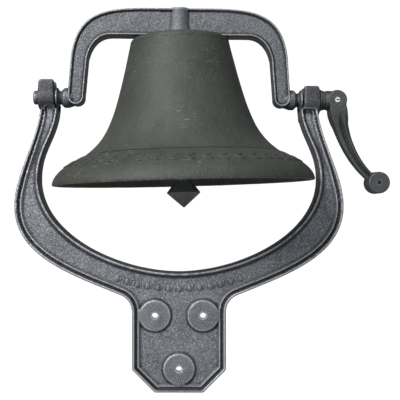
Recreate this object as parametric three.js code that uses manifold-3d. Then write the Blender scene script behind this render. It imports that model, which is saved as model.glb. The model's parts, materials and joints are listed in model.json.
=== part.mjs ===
// Yard dinner bell: a cast bell hung in a swinging yoke, carried by a lyre-shaped post bracket.
// Millimetres, +Z up, the front of the bell faces -Y. The origin is the mounting point on the
// flat back of the plate that is bolted to a post.
import * as THREE from 'three';
import * as BufferGeometryUtils from 'three/addons/utils/BufferGeometryUtils.js';
import Module from 'manifold-3d';

const wasm = await Module();
wasm.setup();

// ---------------------------------------------------------------- driving dimensions (mm)
const gap = 0.3; // clearance between pieces that touch

// swing axle
const bearingOutset = 2; // centre of each bearing outside the bell's rim
const axleTilt = 0.6; // degrees; the bearing on the crank side is cast lower
const bearingLength = 19;
const journalDiameter = 16;
const journalClearance = 0.5; // radial, in the open bearing slots
const yokeEndFloat = 1; // side play of the yoke, each side

// post bracket
const castingDepth = 28;
const draft = 1.5; // how far the side walls lean in, from back to front
const rimWidth = 3.5; // raised rim at the edge of the casting
const coveWidth = 3.5; // slope from the rim down to the sunk panel
const panelRecess = 5.5;
const backWall = 6; // wall round the hollow back of the arms
const backPocketDepth = 14;
const neckWidth = 20; // arm just under its bearing
const neckOffset = 4; // the arm stands this much inside the bearing's centre
const bellClearance = 10; // between the bell's rim and each arm
const armWidth = 28; // arm at its widest
const openingAboveLip = 5.1; // widest part of the opening above the bell's lip
const bellyBelowLip = 25.9; // widest part of the bracket below the lip
const windowBelowLip = 101.9; // lowest point of the opening below the lip
const bottomWidth = 17; // opening down to the point where the bracket runs into the plate
const shoulderOutset = 35; // that point outside the plate's side
const shoulderSlope = 22; // degrees
const plateWidth = 108;
const plateHeight = 120; // below the shoulder
const plateChamfer = 26;
const originBelowShoulder = 52; // the mounting point, on the back of the plate
const throatRadius = 20; // fillet between the shoulder and the plate's side
const saddleRadius = 14; // round bearing barrel
const leftHorn = 20; // axle to the top of the left bearing's horns
const rightHorn = 15.5;
const rightBarrelDrop = 3.8; // the right barrel sits this much under the axle
const collarRelief = 1; // room round the yoke's collars
const hornChamfer = 4;

// mounting holes in round bosses
const boltBossDiameter = 38.5;
const boltBossRise = 3.5; // above the sunk panel
const boltHoleDiameter = 6.5;
const boltCoreDiameter = 21; // cored recess in the back of the plate, behind each boss
const boltWall = 8; // boss face to the bottom of that recess
const boltSpacing = 55; // between the two upper holes
const upperBoltBelowShoulder = 32;
const lowerBoltAboveEdge = 27; // over the plate's lower edge

// yoke
const yokeDepth = 24;
const yokeCrown = 102.6; // axle to the top of the yoke
const yokeBeam = 31.6; // height of the cross beam
const legFootWidth = 19; // leg beside its trunnion
const legTopWidth = 20; // leg where the corner starts
const legTaper = 3.5; // each leg leans in by this much up to the corner
const outerCorner = 54; // reach of the outer corner curve
const innerCorner = 27;
const yokeRim = 4;
const yokeRecess = 3;
const crownBossDiameter = 28;
const crownPadRise = 0.8; // top of the boss above the beam
const seatDrop = 2.2; // machined seat under the beam
const trunnionConeDiameter = 25; // collar beside the bearing
const legBossDiameter = 23; // round boss on the leg
const trunnionNeck = 8.5; // leg face to the waist of the trunnion
const stubReach = 6; // plain end of the left trunnion past its bearing

// bell
const mouthDiameter = 300;
const bellHeight = 166; // lip to the flat of the crown
const crownDiameter = 114;
const crownCorner = 6;
const crownThickness = 9;
const wallThickness = 6.5;
const bowThickness = 10; // sound bow
const lipFlat = 4;
const crownLean = 2.1; // degrees that the crown seat is cast out of square with the axle

// crown stud, washers and nut
const studDiameter = 12;
const crownWasherDiameter = 37;
const crownWasherThickness = 2.5;
const lockWasherDiameter = 21.5;
const lockWasherThickness = 3;
const nutAcrossFlats = 19;
const nutHeight = 10;

// clapper and its hinge
const forkDiameter = 22;
const forkSlot = 9.4;
const forkReach = 30; // nut to the end of the fork
const clapperPinDiameter = 8;
const clapperPinHead = 12;
const clapperPinHeadThickness = 3;
const cotterWire = 2.6;
const clapperBallShow = 10.6; // ball's widest part under the lip
const clapperEyeDiameter = 19;
const clapperRodTop = 13;
const clapperRodBottom = 17;
const clapperBallDiameter = 39;
const clapperBallTop = 14; // widest part up to the rod
const clapperBallTip = 17; // widest part down to the tip

// crank
const crankWasherDiameter = 25;
const crankWasherThickness = 2.2;
const crankSleeveDiameter = 22.5;
const crankSleeveLength = 9.7;
const crankHubDiameter = 22.5;
const crankHubInset = 7; // hub's axis past the end of the sleeve
const crankHubDepth = 23;
const crankLeverTop = 23; // width of the lever at the hub
const crankLeverBottom = 12.5;
const crankLeverDepth = 13;
const crankReach = 48.4; // hub to knob, sideways
const crankDrop = 94.2; // hub to knob, downwards
const crankKnobDiameter = 26;
const crankKnobDepth = 24;
const crankKnobTaper = 2; // the front face is this much smaller in radius
const ropeHoleDiameter = 5;
const springPinDiameter = 6;
const springPinWall = 1.9;
const springPinSlot = 1;

// ---------------------------------------------------------------- derived places (mm)
const axleY = -castingDepth / 2;
const tilt = THREE.MathUtils.degToRad(axleTilt);
const bearingX = mouthDiameter / 2 + bearingOutset;
const axleFall = bearingX * Math.tan(tilt); // middle of the axle under its left bearing
const crownSeatZ = yokeCrown - yokeBeam - seatDrop;
const lipDrop = axleFall + gap + bellHeight - crownSeatZ; // these drops are measured from the left bearing
const openingX = mouthDiameter / 2 + bellClearance;
const openingDrop = lipDrop - openingAboveLip;
const openingBottomDrop = lipDrop + windowBelowLip;
const bellyX = openingX + armWidth;
const bellyDrop = lipDrop + bellyBelowLip;
const shoulderDrop = openingBottomDrop + bottomWidth;
const plateX = plateWidth / 2;
const plateBottomDrop = shoulderDrop + plateHeight;
const upperBoltDrop = shoulderDrop + upperBoltBelowShoulder;
const lowerBoltDrop = plateBottomDrop - lowerBoltAboveEdge;
const pivotHeight = shoulderDrop + originBelowShoulder;
const bearingInner = bearingX - bearingLength / 2;
const bearingOuter = bearingX + bearingLength / 2;
const journalRadius = journalDiameter / 2;
const slotRadius = journalRadius + journalClearance;
const legOuter = bearingInner - yokeEndFloat - 14;
const studHole = studDiameter / 2 + gap;
const crankSleeveStart = bearingOuter + gap + crankWasherThickness + gap;
const crankHubX = crankSleeveStart + crankSleeveLength + crankHubInset;

// ---------------------------------------------------------------- helpers
function solid(geometry) {
  geometry.deleteAttribute('normal');
  geometry.deleteAttribute('uv');
  const merged = BufferGeometryUtils.mergeVertices(geometry, 1e-4);
  const vertProperties = new Float32Array(merged.attributes.position.array);
  const corners = merged.index.array;
  const kept = [];
  for (let i = 0; i < corners.length; i += 3) {
    const [a, b, c] = corners.slice(i, i + 3);
    const collapsed = a === b || b === c || c === a; // at the poles of a turned shape
    if (!collapsed) kept.push(a, b, c);
  }
  return new wasm.Manifold(new wasm.Mesh({ numProp: 3, vertProperties, triVerts: new Uint32Array(kept) }));
}

function geometryOf(body) {
  const mesh = body.getMesh();
  const geometry = new THREE.BufferGeometry();
  geometry.setAttribute('position', new THREE.BufferAttribute(new Float32Array(mesh.vertProperties), 3));
  geometry.setIndex(new THREE.BufferAttribute(new Uint32Array(mesh.triVerts), 1));
  return geometry;
}

function box(x0, x1, y0, y1, z0, z1) {
  const geometry = new THREE.BoxGeometry(x1 - x0, y1 - y0, z1 - z0);
  return solid(geometry.translate((x0 + x1) / 2, (y0 + y1) / 2, (z0 + z1) / 2));
}

// a round bar along X, Y or Z from one end to the other
function bar(axis, radius, from, to, centre = [0, 0, 0], segments = 32) {
  const geometry = new THREE.CylinderGeometry(radius, radius, to - from, segments);
  geometry.translate(0, (from + to) / 2, 0);
  if (axis === 'x') geometry.rotateZ(-Math.PI / 2);
  if (axis === 'z') geometry.rotateX(Math.PI / 2);
  return solid(geometry.translate(...centre));
}

// a body of revolution about Z from [radius, height] pairs
function turned(profile, segments = 48) {
  const points = profile.map(([radius, height]) => new THREE.Vector2(radius, height));
  return solid(new THREE.LatheGeometry(points, segments).rotateX(Math.PI / 2));
}

// a body of revolution about X from [radius, x] pairs
function turnedAboutX(profile, segments = 32) {
  const points = profile.map(([radius, along]) => new THREE.Vector2(radius, along));
  return solid(new THREE.LatheGeometry(points, segments).rotateZ(-Math.PI / 2));
}

// a plate whose outline lies in XZ, from y = near (back) to y = far (front, more negative)
function slab(outline, near, far, bevel = 0, bevelHeight = 0) {
  const geometry = new THREE.ExtrudeGeometry(new THREE.Shape(outline), {
    depth: near - far - bevelHeight,
    bevelEnabled: bevel !== 0,
    bevelSize: Math.abs(bevel),
    bevelOffset: bevel < 0 ? -Math.abs(bevel) : 0,
    bevelThickness: bevelHeight,
    bevelSegments: 1,
    steps: 1,
  });
  return solid(geometry.rotateX(Math.PI / 2).translate(0, near, 0));
}

// a cutter for a sunk panel: the outline at its floor, wider by the slope where it opens at the front
function sunkPanel(outline, floor, front, slope) {
  const geometry = new THREE.ExtrudeGeometry(new THREE.Shape(outline), {
    depth: 5, bevelEnabled: true, bevelSize: slope, bevelThickness: floor - front, bevelSegments: 1, steps: 1,
  });
  return solid(geometry.rotateX(Math.PI / 2).translate(0, front, 0));
}

// a casting wall with draft: full outline at the back, smaller by the draft at the front
function drafted(outline, near, far, lean) {
  const whole = slab(outline, near, far, -lean, near - far - 1);
  const reach = 1000;
  return whole.subtract(box(-reach, reach, near, near + reach, -reach, reach));
}

function union(bodies) {
  return bodies.reduce((sum, body) => sum.add(body));
}

function part(name, body, colour, roughness, metalness) {
  const material = new THREE.MeshStandardMaterial({ color: colour, roughness, metalness });
  const geometry = body instanceof THREE.BufferGeometry ? body : geometryOf(body);
  const mesh = new THREE.Mesh(geometry, material);
  mesh.name = name;
  return mesh;
}

// points of a curve moved sideways: positive moves to the left of the direction of travel
function parallel(curve, divisions, shift) {
  const points = [];
  for (let i = 0; i <= divisions; i += 1) {
    const t = i / divisions;
    const point = curve.getPoint(t);
    const along = curve.getTangent(t);
    points.push(new THREE.Vector2(point.x - along.y * shift, point.y + along.x * shift));
  }
  return points;
}

function mirrored(points) {
  return points.map((point) => new THREE.Vector2(-point.x, point.y)).reverse();
}

const v2 = (x, z) => new THREE.Vector2(x, z);

// ---------------------------------------------------------------- post bracket
// Right half of the outside edge, from the arm's top down to the plate's lower edge.
function outsideEdge(inset, top) {
  const neckX = bearingX - neckOffset + neckWidth / 2;
  const slope = THREE.MathUtils.degToRad(shoulderSlope);
  const upperHandle = 0.345 * (bellyDrop - saddleRadius);
  const lowerHandle = 0.53 * (shoulderDrop - bellyDrop);
  const shoulder = v2(plateX + shoulderOutset, -shoulderDrop);
  const shoulderHandle = 0.56 * (bellyX - shoulder.x);
  const upper = new THREE.CubicBezierCurve(
    v2(neckX, -top), v2(neckX, -top - upperHandle),
    v2(bellyX, -bellyDrop + upperHandle), v2(bellyX, -bellyDrop));
  const lower = new THREE.CubicBezierCurve(
    v2(bellyX, -bellyDrop), v2(bellyX, -bellyDrop - lowerHandle),
    v2(shoulder.x + shoulderHandle * Math.cos(slope), shoulder.y + shoulderHandle * Math.sin(slope)),
    shoulder);
  const points = [...parallel(upper, 16, -inset), ...parallel(lower, 22, -inset).slice(1)];
  // fillet from the sloping shoulder into the plate's upright side
  const centreX = plateX + throatRadius;
  const drop = (throatRadius - (centreX - shoulder.x) * Math.sin(slope)) / Math.cos(slope);
  const centreZ = shoulder.y - drop;
  const steps = 7;
  for (let i = 0; i <= steps; i += 1) {
    const angle = Math.PI / 2 + slope + (Math.PI / 2 - slope) * (i / steps);
    const radius = throatRadius + inset;
    points.push(v2(centreX + radius * Math.cos(angle), centreZ + radius * Math.sin(angle)));
  }
  const bottom = -plateBottomDrop + inset;
  const mitre = inset * Math.tan(Math.PI / 8);
  points.push(v2(plateX - inset, -plateBottomDrop + plateChamfer + mitre));
  points.push(v2(plateX - plateChamfer - mitre, bottom));
  return points;
}

// Right half of the opening's edge, from its lowest point up to the arm's top.
function openingEdge(inset, top) {
  const neckX = bearingX - neckOffset - neckWidth / 2;
  const sideHandle = 0.61 * (openingBottomDrop - openingDrop);
  const bottomHandle = 0.43 * openingX;
  const upperHandle = 0.47 * (openingDrop - saddleRadius);
  const lower = new THREE.CubicBezierCurve(
    v2(0, -openingBottomDrop), v2(bottomHandle, -openingBottomDrop),
    v2(openingX, -openingDrop - sideHandle), v2(openingX, -openingDrop));
  const upper = new THREE.CubicBezierCurve(
    v2(openingX, -openingDrop), v2(openingX, -openingDrop + upperHandle),
    v2(neckX, -top - upperHandle), v2(neckX, -top));
  return [...parallel(lower, 20, -inset), ...parallel(upper, 12, -inset).slice(1)];
}

function bracketOutline(inset, top) {
  const outside = outsideEdge(inset, top);
  const opening = openingEdge(inset, top);
  const right = [...opening, ...outside];
  return [...right, ...mirrored(right).slice(0, -1)];
}

// one arm only, for the hollow in its back
function armOutline(inset, top, bottom) {
  const outside = outsideEdge(inset, top).filter((point) => point.y > -bottom && point.x > plateX);
  const opening = openingEdge(inset, top).filter((point) => point.x > plateX - inset);
  return [...opening, ...outside];
}

// a bearing barrel with its two horns, centred on the axle
function saddle(hornTop, barrelDrop) {
  const inner = bearingInner;
  const outer = bearingOuter;
  const barrel = bar('x', saddleRadius, inner, outer, [0, 0, -barrelDrop], 40);
  const horns = new THREE.Shape([
    v2(inner, -2 - barrelDrop), v2(outer, -2 - barrelDrop), v2(outer, hornTop - hornChamfer),
    v2(outer - hornChamfer, hornTop), v2(inner + 1, hornTop), v2(inner, hornTop - 1)]);
  const block = new THREE.ExtrudeGeometry(horns, { depth: 2 * saddleRadius, bevelEnabled: false });
  const tower = solid(block.rotateX(Math.PI / 2).translate(0, saddleRadius, 0));
  return barrel.add(tower);
}

function saddleSlot() {
  const cutter = bar('x', slotRadius, bearingInner - 5, bearingOuter + 5, [0, 0, 0], 40);
  const mouth = box(bearingInner - 5, bearingOuter + 5, -slotRadius, slotRadius, 0, leftHorn + rightHorn);
  return cutter.add(mouth);
}

function postBracket() {
  const front = -castingDepth;
  const armTop = saddleRadius / 2;
  const pocketTop = saddleRadius + 4;
  const floor = front + panelRecess;
  const lift = (body) => body.translate([0, 0, pivotHeight]);
  let casting = drafted(bracketOutline(0, armTop), 0, front, draft);
  const panel = sunkPanel(bracketOutline(rimWidth + coveWidth, pocketTop), floor, front, coveWidth);
  casting = casting.subtract(panel);
  const bosses = [[boltSpacing / 2, -upperBoltDrop], [-boltSpacing / 2, -upperBoltDrop], [0, -lowerBoltDrop]];
  const bossFace = floor - boltBossRise;
  for (const [x, z] of bosses) {
    casting = casting.add(bar('y', boltBossDiameter / 2, bossFace, floor + 2, [x, 0, z], 40));
  }
  for (const [x, z] of bosses) {
    casting = casting.subtract(bar('y', boltHoleDiameter / 2, front - 5, 5, [x, 0, z], 20));
    casting = casting.subtract(bar('y', boltCoreDiameter / 2, bossFace + boltWall, 5, [x, 0, z], 32));
  }
  const hollow = slab(armOutline(backWall, pocketTop, shoulderDrop - 6), 5, -backPocketDepth);
  casting = casting.subtract(hollow).subtract(hollow.mirror([1, 0, 0]));
  const slot = saddleSlot();
  const reliefRadius = trunnionConeDiameter / 2 + collarRelief;
  const relief = bar('x', reliefRadius, bearingInner - neckWidth, bearingInner, [0, 0, 0], 40);
  const alongAxle = (body) => body.rotate([0, axleTilt, 0]).translate([0, axleY, -axleFall]);
  casting = casting.subtract(alongAxle(relief)).subtract(alongAxle(relief.mirror([1, 0, 0])));
  casting = casting.add(saddle(rightHorn, rightBarrelDrop).translate([0, axleY, -2 * axleFall]));
  casting = casting.add(saddle(leftHorn, 0).translate([0, axleY, 0]).mirror([1, 0, 0]));
  casting = casting.subtract(alongAxle(slot)).subtract(alongAxle(slot.mirror([1, 0, 0])));
  return part('post_bracket', lift(casting), 0x5b6068, 0.6, 0.7);
}

// ---------------------------------------------------------------- yoke
function yokeOutside(inset) {
  const cornerX = legOuter - legTaper;
  const cornerZ = yokeCrown - 56;
  const beamX = 30;
  const corner = new THREE.CubicBezierCurve(
    v2(cornerX, cornerZ), v2(cornerX - 0.12 * outerCorner, cornerZ + outerCorner),
    v2(beamX + 0.95 * outerCorner, yokeCrown), v2(beamX, yokeCrown));
  return [v2(legOuter - inset, 0), ...parallel(corner, 16, inset)];
}

function yokeInside(inset) {
  const beamBottom = yokeCrown - yokeBeam;
  const footX = legOuter - legFootWidth;
  const cornerX = legOuter - legTaper - legTopWidth + 1;
  const corner = new THREE.CubicBezierCurve(
    v2(cornerX - innerCorner, beamBottom), v2(cornerX - 0.42 * innerCorner, beamBottom),
    v2(cornerX - 3, beamBottom - 0.45 * innerCorner), v2(cornerX, beamBottom - innerCorner));
  return [...parallel(corner, 10, inset), v2(footX + inset, 2)];
}

function yokeOutline(inset) {
  const centre = legOuter - legFootWidth / 2;
  const foot = [];
  const footDrop = 2; // the foot's curve is centred a little under the axle
  const radius = legFootWidth / 2 - inset;
  const steps = 10;
  for (let i = 1; i < steps; i += 1) {
    const angle = Math.PI + Math.PI * (i / steps);
    foot.push(v2(centre + radius * Math.cos(angle), radius * Math.sin(angle) - footDrop));
  }
  const right = [...yokeInside(inset), ...foot, ...yokeOutside(inset)];
  return [...right, ...mirrored(right)];
}

function trunnion(side, reach) {
  const waist = legOuter + trunnionNeck;
  const collar = bearingInner - yokeEndFloat;
  const cone = trunnionConeDiameter / 2;
  const boss = legBossDiameter / 2;
  const shaft = turnedAboutX([
    [0, legOuter - legFootWidth / 2], [boss - 3, legOuter - legFootWidth / 2], [boss, legOuter],
    [boss - 1, legOuter + 4], [journalRadius + 1, waist], [journalRadius + 1, waist + 1.5],
    [cone - 1, collar - 1.5], [cone - 0.5, collar], [journalRadius, collar],
    [journalRadius, reach - 1.5], [journalRadius - 1.5, reach], [0, reach]]);
  return side > 0 ? shaft : shaft.mirror([1, 0, 0]);
}

function yoke() {
  const half = yokeDepth / 2;
  const recessFloor = half - yokeRecess;
  let casting = slab(yokeOutline(0), half, -half);
  for (const side of [1, -1]) {
    const [far, near] = side > 0 ? [half + 5, recessFloor] : [-recessFloor, -half - 5];
    const face = slab(yokeOutline(yokeRim), far, near);
    casting = casting.subtract(face);
  }
  const seat = crownSeatZ - 3;
  casting = casting.add(bar('z', crownBossDiameter / 2, seat, yokeCrown + crownPadRise));
  casting = casting.add(trunnion(-1, bearingOuter + stubReach));
  casting = casting.add(trunnion(1, crankHubX + crankHubDiameter / 2 - 5));
  // the seat for the bell is cut at the crown's lean
  const reach = 400;
  const lean = [0, -crownLean, 0];
  const below = box(-20, 20, -20, 20, -reach, 0).rotate(lean).translate([0, 0, crownSeatZ]);
  casting = casting.subtract(below);
  const bore = bar('z', studHole, -60, 80).rotate(lean).translate([0, 0, crownSeatZ]);
  casting = casting.subtract(bore);
  const crossBore = bar('y', springPinDiameter / 2 + gap, -half, half, [crankHubX, 0, 0], 20);
  return part('yoke', casting.subtract(crossBore), 0x565b63, 0.6, 0.7);
}

// ---------------------------------------------------------------- bell
// Heights run down from the flat of the crown, which seats on the yoke.
function bellOutside() {
  const rimR = mouthDiameter / 2;
  const crownR = crownDiameter / 2;
  const lip = -bellHeight;
  const waist = new THREE.CubicBezierCurve(
    v2(crownR, -crownCorner), v2(crownR + 20, -0.56 * bellHeight),
    v2(crownR + 28, -0.68 * bellHeight), v2(0.75 * rimR, -0.8 * bellHeight));
  const flare = new THREE.CubicBezierCurve(
    v2(0.785 * rimR, -0.812 * bellHeight), v2(0.9 * rimR, -0.868 * bellHeight),
    v2(rimR - 2, -0.915 * bellHeight), v2(rimR, lip + 1.5));
  const shoulder = new THREE.EllipseCurve(
    crownR - crownCorner, -crownCorner, crownCorner, crownCorner, Math.PI / 2, 0, true);
  return [...shoulder.getPoints(3), ...waist.getPoints(9).slice(1), ...flare.getPoints(6)];
}

function bellInside() {
  const rimR = mouthDiameter / 2;
  const crownR = crownDiameter / 2;
  const lip = -bellHeight;
  const bow = new THREE.CubicBezierCurve(
    v2(rimR - lipFlat, lip), v2(rimR - bowThickness, -0.93 * bellHeight),
    v2(0.8 * rimR, -0.89 * bellHeight), v2(0.72 * rimR, -0.845 * bellHeight));
  const waist = new THREE.CubicBezierCurve(
    v2(0.72 * rimR, -0.845 * bellHeight), v2(crownR + 22, -0.7 * bellHeight),
    v2(crownR + 14 - wallThickness, -0.56 * bellHeight), v2(crownR - wallThickness, -crownThickness - 8));
  const points = [...bow.getPoints(5), ...waist.getPoints(7).slice(1)];
  return [...points, v2(crownR - wallThickness - 8, -crownThickness)];
}

function bell() {
  const bore = [v2(studHole, -crownThickness), v2(studHole, 0)];
  const outline = [v2(studHole, 0), ...bellOutside(), ...bellInside(), ...bore];
  const geometry = new THREE.LatheGeometry(outline.reverse(), 60).rotateX(Math.PI / 2);
  return part('bell', solid(geometry), 0x4c524b, 0.55, 0.7);
}

// ---------------------------------------------------------------- crown stack, down from the crown's flat
const washerTop = -crownThickness - gap;
const lockTop = washerTop - crownWasherThickness - gap;
const nutTop = lockTop - lockWasherThickness - gap;
const forkTop = nutTop - nutHeight - 2;
const hingeZ = forkTop - forkReach + forkDiameter / 2;

function ring(outer, inner, top, thickness, segments = 32) {
  const under = top - thickness;
  return turned([[inner, under], [outer, under], [outer, top], [inner, top], [inner, under]], segments);
}

function crownWasher() {
  const body = ring(crownWasherDiameter / 2, studHole, washerTop, crownWasherThickness);
  return part('crown_washer', body, 0x777b7e, 0.45, 0.9);
}

function crownLockWasher() {
  const split = box(0, lockWasherDiameter, -1, 1, -20, 20).translate([0, 0, lockTop]);
  const body = ring(lockWasherDiameter / 2, studHole, lockTop, lockWasherThickness).subtract(split);
  return part('crown_lock_washer', body, 0x777b7e, 0.45, 0.9);
}

function crownNut() {
  const corner = nutAcrossFlats / Math.sqrt(3);
  const nutFoot = nutTop - nutHeight;
  const hex = turned([[0, nutFoot], [corner, nutFoot], [corner, nutTop], [0, nutTop]], 6);
  const cone = turned([
    [0, nutTop - nutHeight], [corner - 1.2, nutTop - nutHeight], [corner + 0.2, nutTop - nutHeight + 1],
    [corner + 0.2, nutTop - 1], [corner - 1.2, nutTop], [0, nutTop]], 36);
  const hole = bar('z', studHole, nutTop - nutHeight - 5, nutTop + 5);
  return part('crown_nut', hex.intersect(cone).subtract(hole), 0x777b7e, 0.45, 0.9);
}

function crownStud() {
  const top = yokeBeam + seatDrop + crownPadRise + 1;
  const fork = forkDiameter / 2;
  const shankRadius = studDiameter / 2;
  const shank = turned([
    [0, forkTop - 4], [shankRadius, forkTop - 4], [shankRadius, top - 1], [shankRadius - 1, top], [0, top]]);
  const block = turned([
    [0, hingeZ - 4], [fork - 3, hingeZ - 4], [fork, hingeZ],
    [fork, forkTop - 2], [fork - 2, forkTop], [0, forkTop]]);
  const round = bar('x', fork, -fork, fork, [0, 0, hingeZ], 40);
  const sides = box(-fork + 1, fork - 1, -fork + 1.5, fork - 1.5, hingeZ - fork, hingeZ + 2);
  const cheeks = sides.intersect(round);
  const slot = box(-forkSlot / 2, forkSlot / 2, -fork - 5, fork + 5, hingeZ - fork - 5, forkTop - 6);
  const pinHole = bar('x', clapperPinDiameter / 2 + gap, -fork - 5, fork + 5, [0, 0, hingeZ], 28);
  const body = shank.add(block).add(cheeks).subtract(slot).subtract(pinHole);
  return part('crown_stud', body, 0x6d7174, 0.45, 0.9);
}

function clapperPin() {
  const fork = forkDiameter / 2;
  const end = fork + 2 * gap + cotterWire + 4;
  const underHead = -fork - gap;
  const headEnd = underHead - clapperPinHeadThickness;
  const head = clapperPinHead / 2;
  const shank = clapperPinDiameter / 2;
  const pin = turnedAboutX([
    [0, headEnd], [head - 0.8, headEnd], [head, headEnd + 0.8], [head, underHead],
    [shank, underHead], [shank, end - 1], [shank - 1, end], [0, end]]);
  const cotterX = fork + gap + cotterWire / 2 + 0.6;
  const hole = bar('z', cotterWire / 2 + 2 * gap, -10, 10, [cotterX, 0, 0], 16);
  return part('clapper_pin', pin.subtract(hole).translate([0, 0, hingeZ]), 0x85898c, 0.4, 0.95);
}

// a bent wire with its eye above the pin and its legs closed and turned aside below it
function clapperCotter() {
  const x = forkDiameter / 2 + gap + cotterWire / 2 + 0.6;
  const reach = clapperPinDiameter / 2;
  const eye = 3.2;
  const route = new THREE.CatmullRomCurve3([
    new THREE.Vector3(x, -4.5, -reach - 5), new THREE.Vector3(x, -1.2, -reach - 2.4),
    new THREE.Vector3(x, 0, -reach), new THREE.Vector3(x, 0, 0), new THREE.Vector3(x, 0, reach + 1),
    new THREE.Vector3(x, -eye, reach + 4.2), new THREE.Vector3(x, 0, reach + 7.6),
    new THREE.Vector3(x, eye, reach + 4.4), new THREE.Vector3(x, 1.9, reach + 2)]);
  const section = new THREE.Shape();
  section.absarc(0, 0, cotterWire / 2, 0, 2 * Math.PI, false);
  const wire = new THREE.ExtrudeGeometry(section, {
    steps: 32, extrudePath: route, bevelEnabled: false, curveSegments: 4 });
  return part('clapper_cotter', solid(wire).translate([0, 0, hingeZ]), 0x85898c, 0.4, 0.95);
}

// ---------------------------------------------------------------- clapper
function clapper() {
  const ball = clapperBallDiameter / 2;
  const centre = -bellHeight - clapperBallShow - hingeZ;
  const tab = forkSlot / 2 - 2 * gap;
  const underFork = -forkDiameter / 2 - gap;
  const facets = turned([
    [0, centre - clapperBallTip], [ball, centre], [clapperRodBottom / 2 + 0.5, centre + clapperBallTop],
    [0, centre + clapperBallTop]], 8);
  const rod = turned([
    [0, centre], [clapperRodBottom / 2, centre], [clapperRodBottom / 2, centre + clapperBallTop],
    [clapperRodTop / 2, centre + 60], [clapperRodTop / 2, underFork - 8], [tab, underFork],
    [tab, -clapperEyeDiameter / 2 + 1], [0, -clapperEyeDiameter / 2 + 1]], 28);
  const eye = bar('x', clapperEyeDiameter / 2, -tab, tab, [0, 0, 0], 36);
  const hole = bar('x', clapperPinDiameter / 2 + gap, -20, 20, [0, 0, 0], 28);
  const body = facets.add(rod).add(eye).subtract(hole);
  return part('clapper', body.translate([0, 0, hingeZ]), 0x4a4e50, 0.6, 0.7);
}

// ---------------------------------------------------------------- crank on the right-hand trunnion
function crankWasher() {
  const start = bearingOuter + gap;
  const outer = crankWasherDiameter / 2;
  const inner = journalRadius + gap;
  const body = turnedAboutX([
    [inner, start], [outer - 0.6, start], [outer, start + 0.6], [outer, start + crankWasherThickness - 0.6],
    [outer - 0.6, start + crankWasherThickness], [inner, start + crankWasherThickness], [inner, start]]);
  return part('crank_washer', body, 0x6f7377, 0.5, 0.9);
}

function leverOutline() {
  const middle = new THREE.CubicBezierCurve(
    v2(0, 0), v2(0.085 * crankReach, -0.4 * crankDrop),
    v2(0.41 * crankReach, -0.79 * crankDrop), v2(crankReach, -crankDrop));
  const left = [];
  const right = [];
  const divisions = 16;
  for (let i = 0; i <= divisions; i += 1) {
    const t = i / divisions;
    const point = middle.getPoint(t);
    const along = middle.getTangent(t);
    const taper = Math.pow(1 - t, 1.6);
    const half = (crankLeverBottom + (crankLeverTop - crankLeverBottom) * taper) / 2;
    left.push(v2(point.x + along.y * half, point.y - along.x * half));
    right.push(v2(point.x - along.y * half, point.y + along.x * half));
  }
  return [...left, ...right.reverse()];
}

function crank() {
  const halfLever = crankLeverDepth / 2;
  const halfHub = crankHubDepth / 2;
  const halfKnob = crankKnobDepth / 2;
  const sleeve = bar('x', crankSleeveDiameter / 2, crankSleeveStart, crankHubX, [0, 0, 0], 36);
  const hub = bar('y', crankHubDiameter / 2, -halfHub, halfHub, [crankHubX, 0, 0], 40);
  const lever = slab(leverOutline(), halfLever, -halfLever, -1.5, 2).translate([crankHubX, 0, 0]);
  const knobRadius = crankKnobDiameter / 2;
  const knobPlace = [crankHubX + crankReach, 0, -crankDrop];
  const knobShape = new THREE.CylinderGeometry(knobRadius, knobRadius - crankKnobTaper, crankKnobDepth, 40);
  const knob = solid(knobShape.translate(...knobPlace));
  const ropeHole = bar('y', ropeHoleDiameter / 2, -halfKnob - 5, halfKnob + 5, knobPlace, 20);
  const boreEnd = crankHubX + crankHubDiameter / 2 - 5 + gap;
  const bore = bar('x', journalRadius + gap, crankSleeveStart - 5, boreEnd, [0, 0, 0], 36);
  const crossBore = bar('y', springPinDiameter / 2 + gap, -halfHub - 5, halfHub + 5, [crankHubX, 0, 0], 20);
  const body = union([sleeve, hub, lever, knob]).subtract(ropeHole).subtract(bore).subtract(crossBore);
  return part('crank', body, 0x4b5054, 0.6, 0.7);
}

function crankPin() {
  const half = crankHubDepth / 2 - 0.5;
  const outer = bar('y', springPinDiameter / 2, -half, half, [0, 0, 0], 24);
  const inner = bar('y', springPinDiameter / 2 - springPinWall, -half - 5, half + 5, [0, 0, 0], 24);
  const slot = box(0, springPinDiameter, -half - 5, half + 5, -springPinSlot / 2, springPinSlot / 2);
  const body = outer.subtract(inner).subtract(slot).translate([crankHubX, 0, 0]);
  return part('crank_pin', body, 0xa9adb0, 0.3, 1);
}

// ---------------------------------------------------------------- assembly
const dinnerBell = new THREE.Group();
dinnerBell.add(postBracket());

const swing = new THREE.Group(); // everything that turns on the axle
swing.position.set(0, axleY, pivotHeight - axleFall);
swing.rotation.y = tilt;
swing.add(yoke(), crankWasher(), crank(), crankPin());

const hung = new THREE.Group(); // what hangs from the leaning crown seat
hung.position.set(0, 0, crownSeatZ - gap);
hung.rotation.y = -THREE.MathUtils.degToRad(crownLean);
hung.add(bell(), crownStud(), crownWasher(), crownLockWasher(), crownNut());
hung.add(clapperPin(), clapperCotter(), clapper());
swing.add(hung);
dinnerBell.add(swing);

export default dinnerBell;
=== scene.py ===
"""Yard dinner bell: a cast bell in a swinging yoke, carried by a lyre-shaped post bracket.

Sizes are in millimetres and are turned into metres when a mesh is made. Heights of the bracket and the
yoke are measured from the axle, and those of the bell and what hangs in it from the flat of its crown.
"""
import json
import logging
import math
from dataclasses import dataclass, field
from enum import Enum
from typing import Any, Callable, Iterable, Sequence

import bmesh
import bpy
from mathutils import Matrix, Vector

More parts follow.
